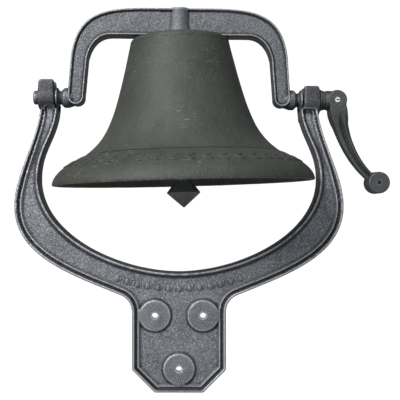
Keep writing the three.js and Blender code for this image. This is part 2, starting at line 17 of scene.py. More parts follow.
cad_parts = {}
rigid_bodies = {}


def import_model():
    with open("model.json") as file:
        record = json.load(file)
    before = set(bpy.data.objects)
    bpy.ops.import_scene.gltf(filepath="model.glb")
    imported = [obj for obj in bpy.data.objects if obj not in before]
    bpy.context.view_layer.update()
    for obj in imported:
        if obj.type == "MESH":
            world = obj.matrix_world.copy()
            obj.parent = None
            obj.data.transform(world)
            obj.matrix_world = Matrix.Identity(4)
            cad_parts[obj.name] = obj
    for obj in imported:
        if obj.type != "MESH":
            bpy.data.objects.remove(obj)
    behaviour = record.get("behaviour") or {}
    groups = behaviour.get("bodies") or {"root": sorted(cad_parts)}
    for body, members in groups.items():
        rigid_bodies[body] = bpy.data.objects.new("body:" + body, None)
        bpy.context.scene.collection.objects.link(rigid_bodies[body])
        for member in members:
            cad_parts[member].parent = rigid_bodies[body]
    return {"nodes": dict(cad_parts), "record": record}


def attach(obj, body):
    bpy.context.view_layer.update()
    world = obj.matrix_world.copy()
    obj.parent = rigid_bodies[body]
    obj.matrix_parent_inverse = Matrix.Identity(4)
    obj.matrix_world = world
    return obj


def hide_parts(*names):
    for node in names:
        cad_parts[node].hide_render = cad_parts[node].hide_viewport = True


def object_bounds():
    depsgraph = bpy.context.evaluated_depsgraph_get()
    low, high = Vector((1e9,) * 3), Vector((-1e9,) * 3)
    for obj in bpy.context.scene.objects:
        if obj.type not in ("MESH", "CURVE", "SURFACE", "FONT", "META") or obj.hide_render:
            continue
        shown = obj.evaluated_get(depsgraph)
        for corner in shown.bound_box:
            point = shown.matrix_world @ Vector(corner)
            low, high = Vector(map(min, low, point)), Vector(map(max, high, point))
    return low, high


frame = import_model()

LOG = logging.getLogger("dinner_bell")
MM = 0.001
QUARTER = math.pi / 2
CAD_BOX = [list(corner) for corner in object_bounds()]
BEARING_X = 152.0
CRANK_X = 180.97

Vec2 = tuple[float, float]
Ring = list[Vector]
Path = list[tuple[Vec2, Vec2]]


class Side(Enum):
    """The two ends of the axle."""

    LEFT = -1
    RIGHT = 1


class Axis(Enum):
    """The direction that a turned shape is turned about."""

    X = Matrix.Rotation(QUARTER, 4, "Y")
    Y = Matrix.Rotation(-QUARTER, 4, "X")


class Place:
    """Frames of the moving bodies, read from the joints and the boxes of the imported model."""

    def __init__(self) -> None:
        """Reads the axle and its tilt, the clapper's hinge and the lean of the crown."""
        joints = {joint["name"]: joint for joint in frame["record"]["behaviour"]["joints"]}
        swing, clapper = joints["bell_swing"], joints["clapper_swing"]
        self.axle = Vector(swing["pos_m"]) / MM
        self.hinge = Vector(clapper["pos_m"]) / MM
        self.tilt = Matrix.Rotation(-math.asin(swing["axis"][2]), 4, "Y")
        self.lean = Matrix.Rotation(-math.asin(clapper["axis"][2]), 4, "Y")
        self.fall = -BEARING_X * swing["axis"][2] / swing["axis"][0]

    def on_axle(self) -> Matrix:
        """Places a shape whose origin is the middle of the axle."""
        return Matrix.Translation(self.axle) @ self.tilt

    def on_post(self) -> Matrix:
        """Places a shape whose y is measured from the post and whose z is measured from the left bearing."""
        return Matrix.Translation((0, 0, self.axle.z + self.fall))

    def on_bearing(self, side: Side) -> Matrix:
        """Places a level shape at the height and depth of the axle in one bearing."""
        return Matrix.Translation(self.axle - Vector((0, 0, side.value * self.fall)))

    def on_hinge(self) -> Matrix:
        """Places a shape whose origin is the clapper's hinge."""
        return Matrix.Translation(self.hinge) @ self.lean


# ---------------------------------------------------------------- outlines
def bezier(start: Vec2, first: Vec2, second: Vec2, end: Vec2, steps: int) -> Path:
    """Walks along a cubic curve.

    Args:
        start: First point.
        first: Handle of the first point.
        second: Handle of the last point.
        end: Last point.
        steps: Number of pieces the curve is cut into.

    Returns:
        Points with their unit directions of travel.
    """
    path = []
    for i in range(steps + 1):
        t = i / steps
        s = 1 - t
        weights = (s * s * s, 3 * s * s * t, 3 * s * t * t, t * t * t)
        slopes = (-3 * s * s, 3 * s * s - 6 * s * t, 6 * s * t - 3 * t * t, 3 * t * t)
        corners = (start, first, second, end)
        x, z = (sum(w * c[k] for w, c in zip(weights, corners)) for k in (0, 1))
        u, v = (sum(w * c[k] for w, c in zip(slopes, corners)) for k in (0, 1))
        length = math.hypot(u, v)
        path.append(((x, z), (u / length, v / length)))
    return path


def shifted(path: Path, shift: Callable[[float], float]) -> list[Vec2]:
    """Moves a path sideways, to the left of its direction of travel.

    Args:
        path: Points with their directions.
        shift: Gives the distance at a height.

    Returns:
        The moved points.
    """
    return [(x - v * shift(z), z + u * shift(z)) for (x, z), (u, v) in path]


def mirrored(points: Sequence[Vec2]) -> list[Vec2]:
    """Mirrors points to the other side of the middle, in the opposite order."""
    return [(-x, z) for x, z in reversed(points)]


def smooth_step(low: float, high: float, value: float) -> float:
    """Rises softly from 0 at low to 1 at high."""
    t = min(1.0, max(0.0, (value - low) / (high - low)))
    return t * t * (3 - 2 * t)


def circle(radius: float, height: float, steps: int) -> Ring:
    """Makes a ring of points about Z."""
    turns = (2 * math.pi * i / steps for i in range(steps))
    return [Vector((radius * math.cos(a), radius * math.sin(a), height)) for a in turns]


def rounded_box(x0: float, x1: float, y0: float, y1: float, z: float, corner: float) -> Ring:
    """Makes a level ring of a rectangle with round corners."""
    ring = []
    left, right, near, far = x0 + corner, x1 - corner, y0 + corner, y1 - corner
    centres = ((right, far), (left, far), (left, near), (right, near))
    for quarter, (x, y) in enumerate(centres):
        for i in range(7):
            angle = QUARTER * (quarter + i / 6)
            ring.append(Vector((x + corner * math.cos(angle), y + corner * math.sin(angle), z)))
    return ring


# ---------------------------------------------------------------- solids and modifiers
@dataclass
class Solid:
    """Closed shells in millimetres. They may overlap where they are melted together later."""

    points: list[Vector] = field(default_factory=list)
    faces: list[tuple[int, ...]] = field(default_factory=list)

    def skin(self, rings: Sequence[Sequence[Vector]], place: Matrix = Matrix()) -> "Solid":
        """Joins rings of equal length with quads and caps both ends.

        Args:
            rings: The rings, in order.
            place: Moves the shell to its place.

        Returns:
            This solid.
        """
        start, count = len(self.points), len(rings[0])
        for ring in rings:
            self.points.extend(place @ point for point in ring)
        last = start + (len(rings) - 1) * count
        for low in range(start, last, count):
            for i in range(count):
                j = (i + 1) % count
                self.faces.append((low + i, low + j, low + count + j, low + count + i))
        self.faces.append(tuple(range(start + count - 1, start - 1, -1)))
        self.faces.append(tuple(range(last, last + count)))
        return self

    def turn(self, profile: Sequence[Vec2], place: Matrix = Matrix(), steps: int = 64) -> "Solid":
        """Turns a profile of (radius, height) pairs about Z, with flat ends."""
        return self.skin([circle(radius, height, steps) for radius, height in profile], place)

    def mirror(self) -> "Solid":
        """Adds a copy on the other side of the middle."""
        shift = len(self.points)
        self.points += [Vector((-p.x, p.y, p.z)) for p in self.points]
        self.faces += [tuple(i + shift for i in reversed(face)) for face in self.faces]
        return self

    def piece(self, name: str) -> bpy.types.Object:
        """Makes the object, in metres and with its faces pointing outwards."""
        mesh = bpy.data.meshes.new(name)
        mesh.from_pydata([point * MM for point in self.points], [], self.faces)
        return link(name, outward(mesh))


def outward(mesh: bpy.types.Mesh) -> bpy.types.Mesh:
    """Merges doubled points and points all faces outwards."""
    work = bmesh.new()
    work.from_mesh(mesh)
    bmesh.ops.remove_doubles(work, verts=work.verts, dist=1e-3 * MM)
    bmesh.ops.recalc_face_normals(work, faces=work.faces)
    work.to_mesh(mesh)
    work.free()
    return mesh


def link(name: str, data: Any) -> bpy.types.Object:
    """Puts an object with this data in the scene."""
    made = bpy.data.objects.new(name, data)
    bpy.context.scene.collection.objects.link(made)
    return made


def settled(piece: bpy.types.Object) -> bpy.types.Object:
    """Turns a piece with modifiers into a plain mesh."""
    graph = bpy.context.evaluated_depsgraph_get()
    mesh = bpy.data.meshes.new_from_object(piece.evaluated_get(graph), depsgraph=graph)
    piece.modifiers.clear()
    piece.data = mesh
    mesh.name = piece.name
    return piece


class Graph:
    """Adds nodes to a tree and links them."""

    def __init__(self, tree: bpy.types.NodeTree) -> None:
        """Keeps the tree."""
        self.tree = tree

    def add(self, kind: str, inputs: dict[Any, Any] | None = None, **settings: Any) -> bpy.types.Node:
        """Adds a node.

        Args:
            kind: The node's type.
            inputs: Values or sockets for its inputs, by name or place.
            settings: Properties of the node, set before its inputs.

        Returns:
            The node.
        """
        node = self.tree.nodes.new(kind)
        for key, value in settings.items():
            setattr(node, key, value)
        for key, value in (inputs or {}).items():
            if isinstance(value, bpy.types.NodeSocket):
                self.tree.links.new(value, node.inputs[key])
            else:
                node.inputs[key].default_value = value
        return node

    def math(self, operation: str, *values: Any) -> bpy.types.NodeSocket:
        """Adds a math node and returns its result."""
        return self.add("ShaderNodeMath", dict(enumerate(values)), operation=operation).outputs[0]

    def compare(self, operation: str, first: Any, second: Any) -> bpy.types.NodeSocket:
        """Adds a comparison of two floats and returns its result."""
        inputs = {0: first, 1: second}
        return self.add("FunctionNodeCompare", inputs, operation=operation, data_type="FLOAT").outputs[0]

    def sized(self, shape: bpy.types.Node, sizes: Sequence[Any], **more: Any) -> bpy.types.NodeSocket:
        """Scales a shape along X, Y and Z, and moves it where more names a translation."""
        scale = self.add("ShaderNodeCombineXYZ", dict(enumerate(sizes))).outputs[0]
        inputs = {"Geometry": shape.outputs[0], "Scale": scale, **more}
        return self.add("GeometryNodeTransform", inputs).outputs[0]

    def vector(self, operation: str, *values: Any, result: str = "Vector") -> bpy.types.NodeSocket:
        """Adds a vector math node and returns one of its results."""
        return self.add("ShaderNodeVectorMath", dict(enumerate(values)), operation=operation).outputs[result]

    def scale(self, vector: Any, factor: Any) -> bpy.types.NodeSocket:
        """Scales a vector."""
        node = self.add("ShaderNodeVectorMath", {0: vector, "Scale": factor}, operation="SCALE")
        return node.outputs[0]


class Recipe:
    """A Geometry Nodes tree with named inputs."""

    def __init__(self, name: str, inputs: dict[str, tuple[str, Any]]) -> None:
        """Makes an empty tree.

        Args:
            name: The tree's name.
            inputs: Each input's socket type and default value, by name.
        """
        self.tree = bpy.data.node_groups.new(name, "GeometryNodeTree")
        face = self.tree.interface
        face.new_socket("Geometry", in_out="INPUT", socket_type="NodeSocketGeometry")
        self.sockets = {}
        for label, (kind, value) in inputs.items():
            socket = face.new_socket(label, in_out="INPUT", socket_type=f"NodeSocket{kind}")
            if value is not None:
                socket.default_value = value
            self.sockets[label] = socket.identifier
        face.new_socket("Geometry", in_out="OUTPUT", socket_type="NodeSocketGeometry")
        self.graph = Graph(self.tree)
        self.given = self.graph.add("NodeGroupInput").outputs

    def finish_rows(self, rows: Sequence[bpy.types.Node]) -> None:
        """Joins rows of instances into smooth meshes and ends the tree."""
        joined = self.graph.add("GeometryNodeJoinGeometry")
        for row in rows:
            self.tree.links.new(row.outputs[0], joined.inputs[0])
        real = self.graph.add("GeometryNodeRealizeInstances", {"Geometry": joined.outputs[0]})
        self.finish(self.graph.add("GeometryNodeSetShadeSmooth", {"Geometry": real.outputs[0]}).outputs[0])

    def finish(self, geometry: bpy.types.NodeSocket) -> None:
        """Realizes the instances, gives them the material and ends the tree."""
        real = self.graph.add("GeometryNodeRealizeInstances", {"Geometry": geometry})
        inputs = {"Geometry": real.outputs[0], "Material": self.given["Material"]}
        dressed = self.graph.add("GeometryNodeSetMaterial", inputs)
        self.graph.add("NodeGroupOutput", {0: dressed.outputs[0]})

    def put_on(self, piece: bpy.types.Object, **values: Any) -> None:
        """Adds the tree to a piece as a modifier, with these inputs."""
        modifier = piece.modifiers.new(self.tree.name, "NODES")
        modifier.node_group = self.tree
        for label, value in values.items():
            modifier[self.sockets[label.replace("_", " ").capitalize()]] = value


def casting_skin() -> Recipe:
    """Builds the tree that gives a casting its uneven skin and measures its edges and hollows.

    Returns:
        The tree. It stores "ridge", which is over 0 on edges and under 0 in hollows, and "side", which is
        1 on walls that look neither to the front nor to the back.
    """
    recipe = Recipe("casting_skin", {
        "Lump depth": ("Float", 0.0003), "Lump size": ("Float", 0.008), "Grain depth": ("Float", 0.0001),
        "Grain size": ("Float", 0.0015), "Seed": ("Float", 1.0), "Reach": ("Int", 6),
        "Gain": ("Float", 1000.0), "Facing": ("Float", 1.0), "Sharp angle": ("Float", 0.6),
        "Material": ("Material", None)})
    g, given = recipe.graph, recipe.given
    place = g.add("GeometryNodeInputPosition").outputs[0]
    normal = g.add("GeometryNodeInputNormal").outputs[0]

    def swell(depth: str, size: str) -> bpy.types.NodeSocket:
        """Gives an outward shift from noise of one size."""
        frequency = g.math("DIVIDE", 1.0, given[size])
        inputs = {"Vector": place, "W": given["Seed"], "Scale": frequency, "Detail": 2.0}
        noise = g.add("ShaderNodeTexNoise", inputs, noise_dimensions="4D")
        return g.math("MULTIPLY", g.math("SUBTRACT", noise.outputs[0], 0.5), given[depth])

    rise = g.math("ADD", swell("Lump depth", "Lump size"), swell("Grain depth", "Grain size"))
    lumpy = g.add("GeometryNodeSetPosition", {"Geometry": given["Geometry"], "Offset": g.scale(normal, rise)})
    blur = {0: place, "Iterations": given["Reach"]}
    even = g.add("GeometryNodeBlurAttribute", blur, data_type="FLOAT_VECTOR")
    stands = g.vector("DOT_PRODUCT", g.vector("SUBTRACT", place, even.outputs[0]), normal, result="Value")
    measured = g.math("MULTIPLY", stands, given["Gain"])
    across = g.math("ABSOLUTE", g.add("ShaderNodeSeparateXYZ", {0: normal}).outputs[1])
    limits = {0: across, 1: 0.45, 2: 0.9}
    front = g.add("ShaderNodeMapRange", limits, interpolation_type="SMOOTHSTEP").outputs[0]
    wall = g.math("MULTIPLY", g.math("SUBTRACT", 1.0, front), given["Facing"])
    raised = g.math("MULTIPLY", g.math("MAXIMUM", measured, 0.0), g.math("SUBTRACT", 1.0, wall))
    ridge = g.math("ADD", raised, g.math("MINIMUM", measured, 0.0))
    kept = lumpy.outputs[0]
    for label, value in (("ridge", ridge), ("side", wall)):
        kept = g.add("GeometryNodeStoreNamedAttribute", {"Geometry": kept, "Name": label, "Value": value},
                     data_type="FLOAT", domain="POINT").outputs[0]
    smooth = g.add("GeometryNodeSetShadeSmooth", {"Geometry": kept, "Shade Smooth": True}, domain="FACE")
    angle = g.add("GeometryNodeInputMeshEdgeAngle").outputs["Unsigned Angle"]
    sharp = g.compare("GREATER_THAN", angle, given["Sharp angle"])
    inputs = {"Geometry": smooth.outputs[0], "Selection": sharp, "Shade Smooth": False}
    edged = g.add("GeometryNodeSetShadeSmooth", inputs, domain="EDGE")
    recipe.finish(edged.outputs[0])
    return recipe


def bead_row() -> Recipe:
    """Builds the tree that sets a bead and two reels in turn along a path.

    Returns:
        The tree.
    """
    recipe = Recipe("bead_row", {
        "Count": ("Int", 37), "Bead length": ("Float", 0.0066), "Reel length": ("Float", 0.0022),
        "Height": ("Float", 0.0086), "Proud": ("Float", 0.0018), "Material": ("Material", None)})
    g, given = recipe.graph, recipe.given
    path = g.add("GeometryNodeMeshToCurve", {0: given["Geometry"]}).outputs[0]
    spots = g.add("GeometryNodeResampleCurve", {"Curve": path, "Count": given["Count"]}).outputs[0]
    ahead = g.add("GeometryNodeInputTangent").outputs[0]
    turn = g.add("FunctionNodeAlignRotationToVector", {"Vector": ahead}, axis="X").outputs[0]
    place_in_turn = g.math("MODULO", g.add("GeometryNodeInputIndex").outputs[0], 3.0)
    rows = []
    kinds = (("LESS_THAN", "Bead length", 1.0), ("GREATER_THAN", "Reel length", 0.78))
    for chosen, length, slimness in kinds:
        sizes = (given[length], g.math("MULTIPLY", given["Proud"], 2.0 * slimness),
                 g.math("MULTIPLY", given["Height"], slimness))
        ball = g.add("GeometryNodeMeshUVSphere", {"Segments": 14, "Rings": 8, "Radius": 0.5})
        rows.append(g.add("GeometryNodeInstanceOnPoints", {
            "Points": spots, "Selection": g.compare(chosen, place_in_turn, 0.5),
            "Instance": g.sized(ball, sizes), "Rotation": turn}))
    recipe.finish_rows(rows)
    return recipe


def leaf_garland() -> Recipe:
    """Builds the tree that lays a ring of leaf pairs, one leaning up and one down, on a sloping skirt.

    Returns:
        The tree. It needs no geometry to start from.
    """
    recipe = Recipe("leaf_garland", {
        "Leaves": ("Int", 48), "Radius": ("Float", 0.125), "Drop": ("Float", 0.14),
        "Slope": ("Float", 0.6), "Length": ("Float", 0.013), "Width": ("Float", 0.005),
        "Proud": ("Float", 0.0008), "Lean": ("Float", 0.45), "Material": ("Material", None)})
    g, given = recipe.graph, recipe.given
    ring = g.add("GeometryNodeMeshCircle", {"Vertices": given["Leaves"], "Radius": given["Radius"]})
    low = g.add("ShaderNodeCombineXYZ", {2: g.math("MULTIPLY", given["Drop"], -1.0)})
    lowered = {"Geometry": ring.outputs[0], "Translation": low.outputs[0]}
    spots = g.add("GeometryNodeTransform", lowered).outputs[0]
    index = g.add("GeometryNodeInputIndex").outputs[0]
    angle = g.math("MULTIPLY", index, g.math("DIVIDE", 2 * math.pi, given["Leaves"]))
    turn = g.add("ShaderNodeCombineXYZ", {1: given["Slope"], 2: angle}).outputs[0]
    ahead = g.add("ShaderNodeCombineXYZ", {1: g.math("MULTIPLY", given["Length"], 0.5)}).outputs[0]
    sizes = (given["Width"], given["Length"], g.math("MULTIPLY", given["Proud"], 2.0))
    ball = g.add("GeometryNodeMeshIcoSphere", {"Radius": 0.5, "Subdivisions": 2})
    flat = g.sized(ball, sizes, Translation=ahead)
    rows = []
    for lean in (1.0, -1.0):
        swing = g.add("ShaderNodeCombineXYZ", {2: g.math("MULTIPLY", given["Lean"], lean)})
        leaf = g.add("GeometryNodeTransform", {"Geometry": flat, "Rotation": swing.outputs[0]})
        inputs = {"Points": spots, "Instance": leaf.outputs[0], "Rotation": turn}
        rows.append(g.add("GeometryNodeInstanceOnPoints", inputs))
    recipe.finish_rows(rows)
    return recipe


def turned_shell() -> Recipe:
    """Builds the tree that turns a closed profile, given as points in XZ, about Z.

    Returns:
        The tree.
    """
    recipe = Recipe("turned_shell", {
        "Segments": ("Int", 96), "Points": ("Int", 10), "Material": ("Material", None)})
    g, given = recipe.graph, recipe.given
    columns = g.math("ADD", given["Segments"], 1)
    grid = g.add("GeometryNodeMeshGrid", {"Vertices X": columns, "Vertices Y": given["Points"]})
    index = g.add("GeometryNodeInputIndex").outputs[0]
    row = g.math("MODULO", index, given["Points"])
    column = g.math("FLOOR", g.math("DIVIDE", index, given["Points"]))
    angle = g.math("MULTIPLY", column, g.math("DIVIDE", 2 * math.pi, given["Segments"]))
    place = g.add("GeometryNodeInputPosition").outputs[0]
    sample = g.add("GeometryNodeSampleIndex", data_type="FLOAT_VECTOR", domain="POINT")
    g.tree.links.new(given["Geometry"], sample.inputs["Geometry"])
    g.tree.links.new(place, sample.inputs["Value"])
    g.tree.links.new(row, sample.inputs["Index"])
    parts = g.add("ShaderNodeSeparateXYZ", {0: sample.outputs[0]})
    x = g.math("MULTIPLY", parts.outputs[0], g.math("COSINE", angle))
    y = g.math("MULTIPLY", parts.outputs[0], g.math("SINE", angle))
    spot = g.add("ShaderNodeCombineXYZ", {0: x, 1: y, 2: parts.outputs[2]})
    bent = g.add("GeometryNodeSetPosition", {"Geometry": grid.outputs[0], "Position": spot.outputs[0]})
    sewn = g.add("GeometryNodeMergeByDistance", {"Geometry": bent.outputs[0], "Distance": 1e-6})
    recipe.finish(sewn.outputs[0])
    return recipe


@dataclass(frozen=True)
class Casting:
    """How a casting is melted from its solids and how rough its skin is, in millimetres."""

    voxel: float
    smoothing: int = 3
    lump_depth: float = 0.35
    lump_size: float = 9.0
    grain_depth: float = 0.12
    grain_size: float = 1.6
    reach: float = 2.2
    facing: float = 1.0
    kept: float = 1.0

    def modifiers(self, piece: bpy.types.Object, hollows: Iterable[Solid], cuts: Iterable[Solid]) -> None:
        """Adds the modifiers that melt the shells together and machine the cuts.

        Args:
            piece: The object with the overlapping shells.
            hollows: Solids taken away before the surface is softened.
            cuts: Solids taken away afterwards, which leave sharp edges.
        """
        voxel = self.voxel * 1.0 * MM
        melt = piece.modifiers.new("melt", "REMESH")
        melt.mode, melt.voxel_size = "VOXEL", voxel
        hollows = list(hollows)
        for solid in hollows:
            carve(piece, solid)
        if hollows:
            again = piece.modifiers.new("soften", "REMESH")
            again.mode, again.voxel_size = "VOXEL", voxel
        smooth = piece.modifiers.new("smooth", "SMOOTH")
        smooth.factor, smooth.iterations = 0.5, self.smoothing
        for solid in cuts:
            carve(piece, solid)


def thin_out(piece: bpy.types.Object, kept: float) -> None:
    """Merges the faces that a flat skin doesn't need, down to a share of them."""
    thinner = piece.modifiers.new("thin", "DECIMATE")
    thinner.decimate_type, thinner.ratio = "COLLAPSE", kept


def carve(piece: bpy.types.Object, tool: Solid) -> None:
    """Takes a solid away from a piece."""
    cutter = tool.piece("cutter")
    cut = piece.modifiers.new("cut", "BOOLEAN")
    cut.operation, cut.solver, cut.object = "DIFFERENCE", "MANIFOLD", cutter


def drop_cutters() -> None:
    """Removes the cutters once their cuts are made."""
    for item in [o for o in bpy.data.objects if o.name.startswith("cutter")]:
        bpy.data.objects.remove(item)


# ---------------------------------------------------------------- finishes
@dataclass(frozen=True)
class Metal:
    """A procedural metal finish, which paints shade in hollows and on side walls, and a highlight mixed with
    wear on edges. Colours are linear, sizes in millimetres.
    """

    name: str
    body: tuple[float, float, float]
    other: tuple[float, float, float]
    dark_tone_and_shade: tuple[float, float, float]
    pale_and_highlight: tuple[float, float, float]
    metallic: float = 0.35
    roughness: float = 0.5
    grain_size: float = 1.0
    grain: float = 0.5
    patch_size: float = 30.0
    wear_and_highlight: float = 0.55
    wear_and_highlight_from: float = 0.15
    wear_and_highlight_to: float = 0.75
    hollow_shade_from: float = -0.08
    hollow_shade_to: float = -0.5
    speckle: float = 0.35
    scratches: float = 0.0
    side_shade: float = 0.55
    dim_above: float | None = None
    dim_share: float = 0.8

    def build(self) -> bpy.types.Material:
        """Builds the material."""
        material = bpy.data.materials.new(self.name)
        material.use_nodes = True
        material.node_tree.nodes.clear()
        g = Graph(material.node_tree)
        place = g.add("ShaderNodeTexCoord").outputs["Object"]

        def noise(size: float, detail: float, rough: float = 0.5) -> bpy.types.NodeSocket:
            """Gives noise with features of this size in millimetres."""
            inputs = {"Vector": place, "Scale": 1 / (size * MM), "Detail": detail, "Roughness": rough}
            return g.add("ShaderNodeTexNoise", inputs).outputs[0]

        def ramp(value: Any, low: float, high: float) -> bpy.types.NodeSocket:
            """Gives 0 at low and 1 at high, softly."""
            inputs = {0: value, 1: low, 2: high, 3: 0.0, 4: 1.0}
            return g.add("ShaderNodeMapRange", inputs, interpolation_type="SMOOTHSTEP").outputs[0]

        def mix(factor: Any, first: Any, second: Any) -> bpy.types.NodeSocket:
            """Mixes two colours."""
            tones = {6: first if isinstance(first, bpy.types.NodeSocket) else (*first, 1.0),
                     7: second if isinstance(second, bpy.types.NodeSocket) else (*second, 1.0)}
            return g.add("ShaderNodeMix", {0: factor, **tones}, data_type="RGBA").outputs[2]

        ridge = g.add("ShaderNodeAttribute", attribute_name="ridge").outputs["Fac"]
        patches = noise(self.patch_size, 4.0, 0.6)
        grain = noise(self.grain_size, 3.0, 0.7)
        coarse = noise(self.grain_size * 3.5, 2.0, 0.6)
        colour = mix(ramp(patches, 0.35, 0.65), self.body, self.other)
        colour = mix(g.math("MULTIPLY", ramp(grain, 0.51, 0.66), self.grain), colour, self.pale_and_highlight)
        colour = mix(g.math("MULTIPLY", ramp(grain, 0.49, 0.34), self.grain), colour, self.dark_tone_and_shade)
        side = g.add("ShaderNodeAttribute", attribute_name="side").outputs["Fac"]
        # painted shade: walls that look neither to the front nor to the back are darkened
        colour = mix(g.math("MULTIPLY", side, self.side_shade), colour, self.dark_tone_and_shade)
        # painted shade: hollows of the casting are darkened towards the dark tone
        sunk = ramp(ridge, self.hollow_shade_from, self.hollow_shade_to)
        colour = mix(sunk, colour, self.dark_tone_and_shade)
        # edge wear and painted highlight: ridges and lips are lightened towards the pale tone
        rubbed_and_lit = g.math("ADD", ridge, g.math("MULTIPLY", g.math("SUBTRACT", coarse, 0.5), self.speckle))
        worn_and_lit = ramp(rubbed_and_lit, self.wear_and_highlight_from, self.wear_and_highlight_to)
        colour = mix(g.math("MULTIPLY", worn_and_lit, self.wear_and_highlight), colour, self.pale_and_highlight)
        if self.dim_above is not None:
            height = g.add("ShaderNodeSeparateXYZ", {0: place}).outputs[2]
            dim = ramp(height, (self.dim_above - 3) * MM, (self.dim_above + 3) * MM)
            colour = mix(g.math("MULTIPLY", dim, self.dim_share), colour, self.dark_tone_and_shade)
        if self.scratches:
            colour = mix(self.scratch_mask(g, place, ramp), colour, self.pale_and_highlight)
        rough = g.math("ADD", self.roughness - 0.1, g.math("MULTIPLY", grain, 0.2))
        rough = g.math("SUBTRACT", rough, g.math("MULTIPLY", worn_and_lit, 0.15))
        size = MM * self.grain_size
        fine = g.add("ShaderNodeBump", {"Strength": 0.8, "Distance": 0.45 * size, "Height": grain})
        bump = g.add("ShaderNodeBump", {
            "Strength": 0.6, "Distance": 0.9 * size, "Height": coarse, "Normal": fine.outputs[0]})
        shader = g.add("ShaderNodeBsdfPrincipled", {
            "Base Color": colour, "Metallic": self.metallic, "Roughness": rough, "Normal": bump.outputs[0]})
        g.add("ShaderNodeOutputMaterial", {0: shader.outputs[0]})
        return material

    def scratch_mask(self, g: Graph, place: bpy.types.NodeSocket,
                     ramp: Callable[..., Any]) -> bpy.types.NodeSocket:
        """Gives short light scratches in a few places.

        Args:
            g: The material's graph.
            place: Where the point is on the piece.
            ramp: Gives a soft step between two values.

        Returns:
            How strongly the point is scratched.
        """
        slanted = {"Vector": place, "Rotation": (0.3, 0.5, 0.2), "Scale": (90, 220, 700)}
        spread = g.add("ShaderNodeMapping", slanted).outputs[0]
        marks = g.add("ShaderNodeTexNoise", {"Vector": spread, "Scale": 1.0, "Detail": 2.0}).outputs[0]
        where = g.add("ShaderNodeTexNoise", {"Vector": place, "Scale": 18.0, "Detail": 2.0}).outputs[0]
        both = g.math("MULTIPLY", ramp(marks, 0.66, 0.72), ramp(where, 0.5, 0.62))
        return g.math("MULTIPLY", both, self.scratches)


class Finish(Enum):
    """The finishes of this object."""

    BRACKET_IRON = Metal("bracket_iron", (0.172, 0.182, 0.201), (0.118, 0.125, 0.142), (0.016, 0.018, 0.022),
                         (0.56, 0.57, 0.60), grain_size=1.3, grain=0.6, wear_and_highlight=0.55, wear_and_highlight_from=0.1,
                         dim_above=254.0)
    YOKE_IRON = Metal("yoke_iron", (0.108, 0.116, 0.128), (0.084, 0.091, 0.101), (0.015, 0.017, 0.020),
                      (0.38, 0.39, 0.41), grain_size=1.2, grain=0.45, wear_and_highlight=0.45)
    BELL_IRON = Metal("bell_iron", (0.048, 0.053, 0.045), (0.035, 0.039, 0.033), (0.012, 0.012, 0.010),
                      (0.30, 0.29, 0.26), metallic=0.25, roughness=0.62, grain=0.16, patch_size=36.0,
                      wear_and_highlight=0.75, wear_and_highlight_from=0.7, wear_and_highlight_to=1.6, speckle=1.0, scratches=0.7)
    # painted shade: a near-black finish for the inside of the bell
    BELL_INSIDE = Metal("bell_inside", (0.010, 0.010, 0.009), (0.007, 0.007, 0.006), (0.003, 0.003, 0.003),
                        (0.05, 0.045, 0.035), metallic=0.0, roughness=0.85, grain=0.2)
    # painted light: the clapper's body colour is raised to stand in for light on it in the bell's shade
    CLAPPER_IRON = Metal("clapper_iron", (0.200, 0.205, 0.205), (0.150, 0.155, 0.155), (0.010, 0.010, 0.011),
                         (0.42, 0.43, 0.43), grain_size=1.0, grain=0.4, wear_and_highlight=0.8)
    CRANK_IRON = Metal("crank_iron", (0.060, 0.066, 0.068), (0.048, 0.054, 0.055), (0.008, 0.010, 0.010),
                       (0.22, 0.23, 0.24), grain=0.3, wear_and_highlight=0.4)
    STEEL = Metal("turned_steel", (0.16, 0.16, 0.16), (0.11, 0.11, 0.11), (0.02, 0.02, 0.02),
                  (0.40, 0.40, 0.40), metallic=0.9, roughness=0.42, grain_size=0.5, grain=0.25)
    PIN_STEEL = Metal("pin_steel", (0.80, 0.80, 0.79), (0.70, 0.70, 0.70), (0.20, 0.20, 0.20),
                      (0.92, 0.92, 0.92), metallic=0.6, roughness=0.45, grain_size=0.4, grain=0.1)


class Foundry:
    """Holds the shared trees and materials, and turns solids into finished pieces."""

    def __init__(self) -> None:
        """Builds the trees and the materials."""
        self.skin = casting_skin()
        self.shell = turned_shell()
        self.beads = bead_row()
        self.garland = leaf_garland()
        self.finishes = {finish: finish.value.build() for finish in Finish}

    def cast(self, name: str, solid: Solid, recipe: Casting, finish: Finish, seed: float,
             hollows: Iterable[Solid] = (), cuts: Iterable[Solid] = ()) -> bpy.types.Object:
        """Melts a solid into a casting.

        Args:
            name: The piece's name.
            solid: Its overlapping shells.
            recipe: How it is cast.
            finish: Its finish.
            seed: Makes its skin differ from the others.
            hollows: Cored hollows.
            cuts: Machined cuts.

        Returns:
            The finished piece.
        """
        piece = solid.piece(name)
        recipe.modifiers(piece, hollows, cuts)
        self.rough_skin(piece, recipe, finish, seed)
        drop_cutters()
        return piece

    def rough_skin(self, piece: bpy.types.Object, recipe: Casting, finish: Finish, seed: float) -> None:
        """Gives a piece its cast skin and makes it a plain mesh."""
        steps = max(2, round((recipe.reach / recipe.voxel) ** 2))
        self.skin.put_on(
            piece, lump_depth=recipe.lump_depth * MM, lump_size=recipe.lump_size * MM,
            grain_depth=recipe.grain_depth * MM, grain_size=recipe.grain_size * MM, seed=seed, reach=steps,
            gain=1 / (0.5 * MM), facing=recipe.facing, material=self.finishes[finish])
        if recipe.kept < 1:
            thin_out(piece, recipe.kept)
        settled(piece)


def deliver(piece: bpy.types.Object, body: str, slot: str, *nodes: str) -> None:
    """Rides a piece on its body, hides the parts it replaces, and reports it."""
    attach(piece, body)
    if nodes:
        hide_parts(*nodes)
    LOG.info("%s on %s: %d faces", piece.name, body, len(piece.data.polygons))


